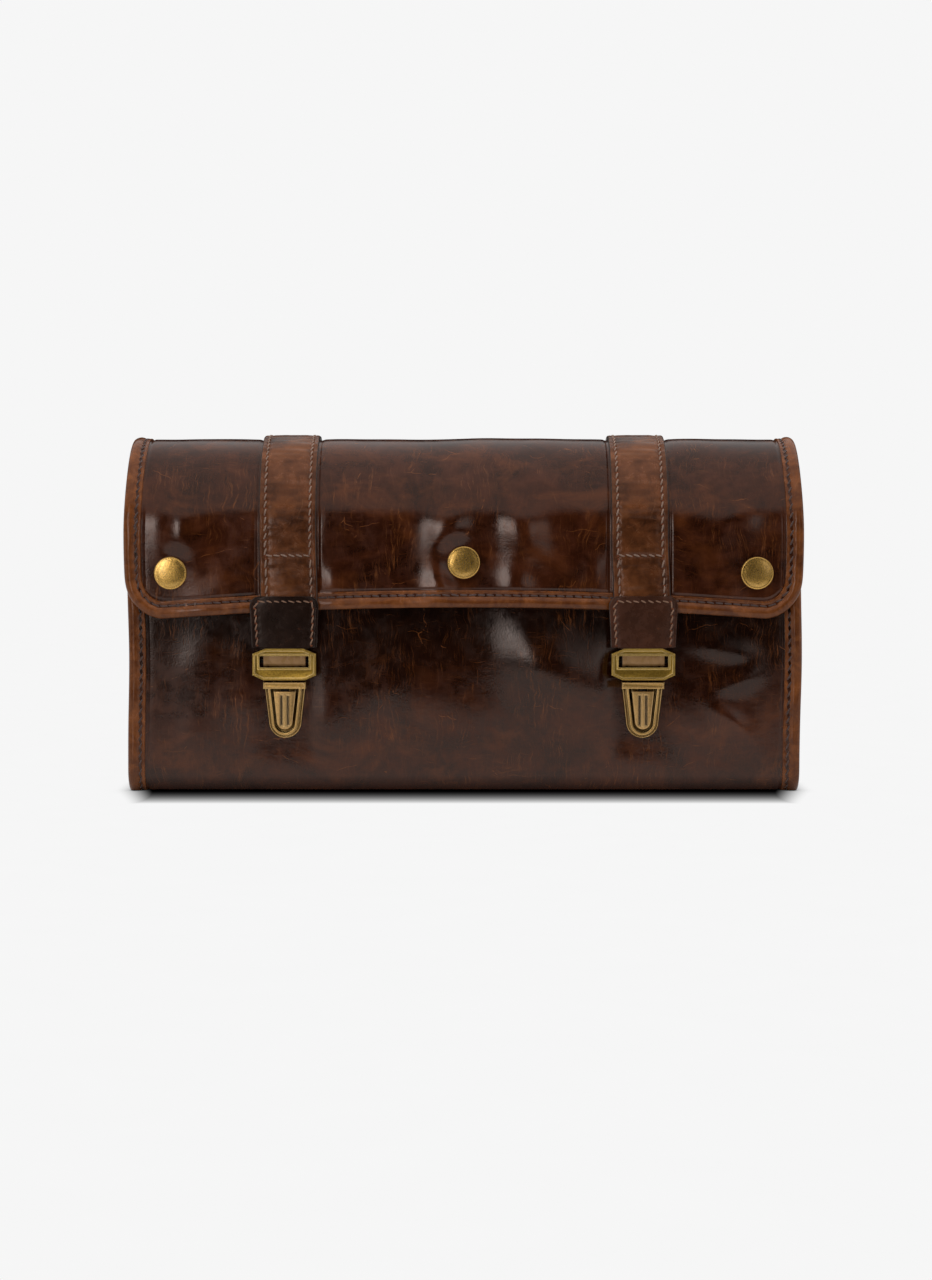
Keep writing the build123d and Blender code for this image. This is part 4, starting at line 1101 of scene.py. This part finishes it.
# ---- Strap tabs ----------------------------------------------------------------------------------
TAB_T = 1.1
TAB_HALF, TAB_TAPER, TAB_NECK, TAB_CORNER = 15.45, 1.15, 9.5, 4.5
TAB_PITCH = 3.35
BAR_Y, BAR_Z = (BAR_LOW[1] + BAR_HIGH[1]) / 2, (BAR_LOW[2] + BAR_HIGH[2]) / 2
TAB_TURN_R = (BAR_Y - TAB_LOW[1]) - TAB_T / 2
TAB_TOP_Z, TAB_END_Z = TAB_HIGH[2], 68.8
V_BAR = TAB_TOP_Z - BAR_Z
V_BACK = V_BAR + math.pi * TAB_TURN_R
V_END = V_BACK + TAB_END_Z - BAR_Z
SHOULDER = TAB_TOP_Z - 64.9  # where the tab narrows to go through the plate's window


def tab_line(v):
    """The middle of the tab's thickness at a length v from its top, down, round the bar and up again."""
    turn = np.clip((v - V_BAR) / TAB_TURN_R, 0, math.pi)
    y = np.where(v < V_BAR, BAR_Y - TAB_TURN_R, BAR_Y - TAB_TURN_R * np.cos(turn))
    z = np.where(v < V_BAR, TAB_TOP_Z - v, BAR_Z - (TAB_TURN_R + 0.4) * np.sin(turn))
    z = np.where(v > V_BACK, BAR_Z + v - V_BACK, z)
    return y, z, -np.cos(turn), -np.sin(turn)


def tab_half(v):
    """Half the tab's width at a length v: round upper corners, a slight taper, then the neck."""
    a = np.where(v < V_BAR, v, np.clip(2 * V_BAR + math.pi * TAB_TURN_R - v, 0, None))
    wide = TAB_HALF - TAB_TAPER * np.clip(a / SHOULDER, 0, 1)
    r = TAB_CORNER
    wide = wide - np.where(v < r, r - np.sqrt(np.clip(r * r - (r - v) ** 2, 0, None)), 0)
    neck = fade(a, SHOULDER - 0.15, SHOULDER + 0.35)
    return wide + (TAB_NECK - wide) * neck


def tab_map(x0):
    """Places points of a tab centred on x0; depth counts down from its outer face."""

    def place(w, v, d):
        y, z, ny, nz = tab_line(v)
        out = TAB_T / 2 - d
        return np.stack([x0 + w, y + ny * out, z + nz * out], -1)

    return place


def tab_seam():
    """The line of stitches round the tab's front, up one side, across the top and down the other."""
    inset, r, top = 2.35, 2.8, 2.35
    right = [(float(tab_half(np.array(t))) - inset, t) for t in np.arange(SHOULDER - 0.9, top + r, -0.8)]
    cx = right[-1][0] - r
    corner = [(cx + r * math.cos(a), top + r - r * math.sin(a)) for a in np.linspace(0, math.pi / 2, 8)]
    return np.array(right + corner + [(-x, t) for x, t in reversed(right + corner)])


def tabs():
    """The tabs with their stitches, and the loops through the plates and round the bars, paler partly from
    pull-up at the bend and partly from painted highlight.
    """
    seam = tab_seam()
    holes = stitch_row(seam, TAB_PITCH)[3]
    corner = 4.5 * (1 - np.cos(np.linspace(0.12, math.pi / 2, 14)))
    shoulder = SHOULDER + np.arange(-0.2, 0.45, 0.1)
    v = [corner, np.arange(5.0, SHOULDER - 0.3, 0.55), shoulder, np.arange(SHOULDER + 0.8, V_BAR, 0.55)]
    v = np.concatenate([*v, np.linspace(V_BAR, V_BACK, 12), np.arange(V_BACK + 0.8, V_END, 0.8)])
    split = V_BAR - 3.2  # the loop, paler partly from pull-up at the bend and partly from painted highlight, starts just above the bar
    near = [t for t in v if t < split]
    far = [near[-1]] + [t for t in v if t >= split]
    inset = np.array([0, 0.06, 0.3, 0.8, 1.4, 1.75, 2.0, 2.2, 2.4, 2.6, 2.9, 3.5, 5.0, 8.0])
    dip = np.array([0.35, 0.14, 0.0, -0.05, -0.02, 0.06, 0.16, 0.22, 0.22, 0.16, 0.08, 0.0, -0.08, -0.12])
    rim = len(inset)
    back_d = np.array([TAB_T - 0.3, TAB_T - 0.04, TAB_T, TAB_T, TAB_T, TAB_T - 0.04, TAB_T - 0.3])
    back = np.array([1, 0.985, 0.5, 0, -0.5, -0.985, -1])
    n = 2 * rim + 1 + len(back)
    painted = np.zeros(n, int)
    painted[[0, 1, 2 * rim - 1, 2 * rim, n - 8, n - 7, n - 2, n - 1]] = 1
    soft = waves(61, 5, 14, 8)
    for side, sign in (("left", -1), ("right", 1)):
        place = tab_map(sign * LOCK_X)

        def loop(t):
            half = float(tab_half(np.array(t)))
            scale = min(1.0, half / 9.0)
            across = np.concatenate([-half + inset * scale, [0.0], (half - inset * scale)[::-1]])
            front = np.concatenate([dip, [-0.12], dip[::-1]]) + 0.03 * soft(across + 40 * sign, t)
            front = front + dimple(across, t + 0 * across, holes, 0.35, 0.8) * (t < SHOULDER + 2)
            return np.concatenate([across, back * half]), np.concatenate([front, back_d])

        colour = TAB_DARK if sign < 0 else TAB_BROWN
        body = f"{side}_tab_plate"
        tab = ribbon(f"tab_{side}", near, loop, place, [colour, EDGE], painted, flip=True)
        fix(tab, "leather_tab", body, f"{side}_strap_tab")
        turn = ribbon(f"tab_{side}_loop", far, loop, place, [LOOP_PULLUP_AND_HIGHLIGHT, EDGE], painted, flip=True)
        fix(turn, "leather_tab", body)
        look = {"pitch": TAB_PITCH, "radius": 0.34, "slant": 17.0}
        for o in stitches(f"stitches_tab_{side}", seam, place, 0.10, THREAD_TAB, hole=KNOTS, **look):
            fix(o, "leather_tab", body)


# ---- Press-stud caps -----------------------------------------------------------------------------
def turned(name, profile, spots, material):
    """Round parts turned from (radius, y) points, their axes facing the front."""
    ring = np.linspace(0, 2 * math.pi, 73)[:-1]
    across, up = np.cos(ring), np.sin(ring)
    verts, faces = [], []
    for i, (x, z) in enumerate(spots):
        rings = [np.stack([x + r * across, np.full(len(ring), y), z + r * up], -1) for r, y in profile]
        points, quads = tube(rings, flip=True)
        verts.append(points)
        faces += [[i * len(points) + j for j in face] for face in quads]
    return make(name, np.concatenate(verts), faces, material)


def caps():
    """The press studs' domed caps, each with a rolled rim."""
    back, front, r = CAPS_HIGH[1] - 0.6, CAPS_LOW[1], CAP_R
    profile = [(3.0, back + 0.55), (r - 1.2, back), (r - 0.3, back - 0.1), (r - 0.05, back - 0.45)]
    profile += [(r, back - 0.85), (r - 0.08, back - 1.2), (r - 0.32, back - 1.5), (r - 0.62, back - 1.62)]
    profile += [(r - 0.85, back - 1.60), (r - 1.15, back - 1.63), (r - 1.9, back - 1.76)]
    profile += [(r - 3.2, back - 1.9), (2.0, front + 0.03), (0.6, front), (0.05, front)]
    fix(turned("stud_cap_faces", profile, SNAPS, BRASS), "brass", "flap", "stud_caps")


# ---- Inside: pocket, loops and board -------------------------------------------------------------
POCKET_T, BELLY = 0.9, 2.0


def pocket():
    """The cotton pocket on the back wall, bellied out a little, with its hem and its seam."""
    half, low, high = POCKET_HIGH[0], POCKET_LOW[2], POCKET_HIGH[2]
    sag = waves(31, 30, 70, 7)

    def place(a, b, d):
        out = (BELLY + 0.5 * sag(a, b)) * (1 - (a / half) ** 8) * fade(b, low, low + 8)
        return np.stack([a, POCKET_HIGH[1] - 0.25 - out - (POCKET_T - d), b], -1)

    u, v = np.meshgrid(np.linspace(-half, half, 61), np.linspace(low, high, 30))
    fix(slab("pocket_front", u, v, 0.0, POCKET_T, place, LINING), "lining", "bag", "slip_pocket")
    hem = [(-half + 2, high - 5), (half - 2, high - 5)]
    seam = [(-half + 2, high - 1), (-half + 2, low + 2), (half - 2, low + 2), (half - 2, high - 1)]
    look = {"pitch": 3.0, "radius": 0.2, "rise": 0.15, "slant": 0.0}
    for name, row in (("hem", hem), ("seam", seam)):
        for o in stitches(f"stitches_pocket_{name}", np.array(row, float), place, 0.0, THREAD_TAN, **look):
            fix(o, "lining", "bag")


LOOP_COUNT, LOOP_PITCH, LOOP_T = 5, 30.0, 0.9


def tool_loops():
    """The elastic band on the back wall, standing out in round loops between its seams."""
    wall, z0, z1 = LOOPS_HIGH[1], LOOPS_LOW[2], LOOPS_HIGH[2]
    out_r, end = wall - LOOPS_LOW[1], LOOP_PITCH * LOOP_COUNT / 2 + 4
    line = [(-end, 0.0)]
    for i in range(LOOP_COUNT):
        cx = (i - (LOOP_COUNT - 1) / 2) * LOOP_PITCH
        line += [(cx - out_r - 2.5, 0.0)]
        turn = np.linspace(0.12, math.pi - 0.12, 25)
        line += [(cx - out_r * math.cos(a), out_r * math.sin(a) ** 0.9) for a in turn]
        line += [(cx + out_r + 2.5, 0.0)]
    line += [(end, 0.0)]
    path = resample(smooth_path(resample(line, 0.5)[0], 2, 3), 0.8)[0]
    zr = np.array([z0, z0 + 0.1, z0 + 0.5, z1 - 0.5, z1 - 0.1, z1, z1 - 0.1, z1 - 0.5, z0 + 0.5, z0 + 0.1])
    dr = np.array([0.5, 0.8, 0.9, 0.9, 0.8, 0.5, 0.15, 0.02, 0.02, 0.15]) * LOOP_T
    rings, pats = [], []
    for (px, py), (nx, ny), r in zip(path, -normals_2d(path), run_length(path)):
        y = wall - 0.05 - (py + ny * (dr - LOOP_T)) - LOOP_T
        rings.append(np.stack([px + nx * (dr - LOOP_T), y, zr], -1))
        pats.append(np.stack([np.full(len(zr), r), zr, dr], -1))
    band = make("elastic_loops", *tube(rings), ELASTIC, np.concatenate(pats))
    fix(band, "elastic", "bag", "tool_loops")


BOARD_R = 6.0


def board():
    """The stiffener in the base, with round corners and eased edges."""
    hx, hy = BOARD_HIGH[0] - BOARD_R, BOARD_HIGH[1] - BOARD_R
    corners = ((hx, hy, 0), (-hx, hy, 90), (-hx, -hy, 180), (hx, -hy, 270))
    ring = [(cx, cy, math.radians(a0 + a)) for cx, cy, a0 in corners for a in np.linspace(0, 90, 9)]
    z_low, z_top = BOARD_LOW[2], BOARD_HIGH[2]
    rows = [(20, z_low), (0.6, z_low), (0.1, z_low + 0.2), (0, z_low + 0.7)]
    rows += [(0.1, z_top - 0.35), (0.5, z_top - 0.06), (1.2, z_top), (6, z_top)]
    rings = []
    for inset, z in rows:
        r, k = max(BOARD_R - inset, 0.5), max(inset - BOARD_R + 0.5, 0)
        x = [math.copysign(abs(cx) - k, cx) + r * math.cos(a) for cx, cy, a in ring]
        y = [math.copysign(abs(cy) - min(k, abs(cy) - 0.5), cy) + r * math.sin(a) for cx, cy, a in ring]
        rings.append(np.stack([x, y, np.full(len(ring), z)], -1))
    fix(make("board_floor", *tube(rings), BOARD), "leather_board", "bag", "base_board")


for soft_part in (leather_panels, linings, bindings, straps, mouth, gussets, tabs):
    soft_part()
for small_part in (caps, pocket, tool_loops, board):
    small_part()


# ---- Fittings kept from the CAD ------------------------------------------------------------------
def fit_out(node, material, width):
    """Gives a CAD node its material, rounded edges and smooth shading."""
    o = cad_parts[node]
    o.data.materials.clear()
    o.data.materials.append(material)
    weld = o.modifiers.new("weld", "WELD")
    weld.merge_threshold = 0.00001
    if width:
        bevel = o.modifiers.new("edges", "BEVEL")
        bevel.width, bevel.segments, bevel.limit_method = width * MM, 2, "ANGLE"
        bevel.angle_limit = math.radians(34)
        bevel.harden_normals = True
        bevel.use_clamp_overlap = True
    for p in o.data.polygons:
        p.use_smooth = True


for lock_side in ("left", "right"):
    for part, metal_kind, width in (
        ("lock_plate", PLATE, 0.20),
        ("lock_button", BUTTON, 0.14),
        ("lock_case", CASE, 0.14),
        ("lock_tongue", CASE, 0.08),
        ("tongue_rivets", PLATE, 0),
        ("lock_rivets", PLATE, 0),
        ("lock_bar", STEEL, 0),
        ("lock_catch", STEEL, 0),
        ("lock_backplate", STEEL, 0),
    ):
        fit_out(f"{lock_side}_{part}", metal_kind, width)
for node in ("stud_sockets", "studs", "stud_posts"):
    fit_out(node, BRASS, 0)


# ---- Stage, light and camera ---------------------------------------------------------------------
FLOOR_HALF = 6.0  # metres, like everything in this section


def plane(name, y0, y1, material):
    """A flat piece of the floor between two distances from front to back."""
    mesh = bpy.data.meshes.new(name)
    corners = [(-FLOOR_HALF, y0, 0), (FLOOR_HALF, y0, 0), (FLOOR_HALF, y1, 0), (-FLOOR_HALF, y1, 0)]
    mesh.from_pydata(corners, [], [(0, 1, 2, 3)])
    mesh.materials.append(material)
    obj = bpy.data.objects.new(name, mesh)
    bpy.context.scene.collection.objects.link(obj)
    return obj


SHADE_Y, SHADE_RATE, SHADE_POWER = 0.034, -19.2, 2.8  # where the painted shadow in front starts, and how it fades


def stage_material():
    """White paper under even light: a flat glow, with a painted shadow under the bag and in front of it."""
    t = Tree("stage_paper")
    near = t.ramp(t.node("ShaderNodeAmbientOcclusion", {"Distance": 0.014}, samples=12, out="AO"), 0.02, 0.92)
    at = t.split(t.object_at())
    ahead = t.mul(t.add(at["Y"], SHADE_Y), SHADE_RATE, clamp=True)
    aside = t.ramp(t.add(t.math("ABSOLUTE", at["X"]), t.mul(ahead, 0.012)), 0.140, 0.157)
    ahead = t.math("POWER", ahead, SHADE_POWER)
    behind = t.ramp(at["Y"], -0.026, 0.0)
    shade = t.math("MINIMUM", near, t.math("MAXIMUM", t.math("MAXIMUM", ahead, aside), behind))
    white = t.ramp(t.noise(t.object_at(), 40.0, 3.0), 0.0, 1.0, 0.918, 0.926)
    path = t.nodes.new("ShaderNodeLightPath").outputs
    seen = t.mul(t.mul(white, shade), path["Is Camera Ray"])
    lit = t.mul(near, t.math("MAXIMUM", t.mul(path["Is Glossy Ray"], 0.70), 0.38))
    glow = t.math("MAXIMUM", seen, t.mul(lit, t.math("SUBTRACT", 1.0, path["Is Camera Ray"])))
    lamp = t.node("ShaderNodeEmission", {"Color": rgb(1, 1, 1), "Strength": glow})
    t.links.new(lamp, t.nodes["Material Output"].inputs["Surface"])
    return t.material


def light(name, place, target, width, height, radiance):
    """A soft rectangular light of a given brightness, aimed at a point."""
    data = bpy.data.lights.new(name, "AREA")
    data.shape, data.size, data.size_y = "RECTANGLE", width, height
    data.energy = radiance * math.pi * width * height
    obj = bpy.data.objects.new(name, data)
    bpy.context.scene.collection.objects.link(obj)
    obj.location = place
    obj.rotation_euler = Vector(np.subtract(target, place)).to_track_quat("-Z", "Y").to_euler()
    obj.visible_camera = False
    data.use_nodes = True
    t = Tree(tree=data.node_tree)
    across = t.split(t.node("ShaderNodeNewGeometry", out="Parametric"))
    soft = [t.ramp(t.math("PINGPONG", across[axis], 0.5), 0.0, 0.42) for axis in ("X", "Y")]
    t.links.new(t.mul(*soft), t.nodes["Emission"].inputs["Strength"])
    return obj


def surround():
    """The studio's walls, as the leather and brass reflect them; the camera sees plain pale grey."""
    world = bpy.data.worlds.new("studio")
    bpy.context.scene.world = world
    world.use_nodes = True
    t = Tree(tree=world.node_tree)
    way = t.split(t.node("ShaderNodeTexCoord", out="Generated"))
    above = t.ramp(way["Z"], 0.37, 0.50, 0.012, 0.62)
    beside = t.ramp(t.math("ABSOLUTE", way["X"]), 0.62, 0.92, 0.0, 0.62)
    strength = t.math("MAXIMUM", above, beside)
    walls = t.node("ShaderNodeBackground", {"Color": rgb(1, 1, 1), "Strength": strength})
    white = t.node("ShaderNodeBackground", {"Color": rgb(0.922, 0.922, 0.922)})
    camera_ray = t.node("ShaderNodeLightPath", out="Is Camera Ray")
    both = t.node("ShaderNodeMixShader", {0: camera_ray, 1: walls, 2: white})
    t.links.new(both, t.nodes["World Output"].inputs["Surface"])


def stage():
    """The paper floor, the studio round it and three soft lights."""
    paper = stage_material()
    front, near, far = -3.0, -0.43, 6.0
    plane("floor", near, far, paper)
    apron = plane("floor_front", front, near, paper)
    apron.visible_glossy = False
    surround()
    light("softbox_left", (-0.47, -1.28, 0.30), (-0.02, -0.04, 0.09), 0.42, 0.85, 4.4)
    light("softbox_right", (0.52, -1.22, 0.30), (0.02, -0.04, 0.09), 0.40, 0.80, 0.9)
    top = light("softbox_top", (0.0, -0.25, 1.30), (0, 0, 0.10), 1.5, 1.0, 3.6)
    top.visible_glossy = False


def camera():
    """Square on, looking slightly down at the bag's middle."""
    target = np.array([0.0010, FLAP_Y * MM, 0.0681])
    tilt, distance = math.radians(3.2), 1.2
    data = bpy.data.cameras.new("camera")
    data.lens, data.sensor_width = 76.05, 36.0
    obj = bpy.data.objects.new("camera", data)
    bpy.context.scene.collection.objects.link(obj)
    obj.location = target + distance * np.array([0, -math.cos(tilt), math.sin(tilt)])
    obj.rotation_euler = (math.pi / 2 - tilt, 0, 0)
    bpy.context.scene.camera = obj


stage()
camera()
bpy.context.scene.view_settings.view_transform = "Standard"
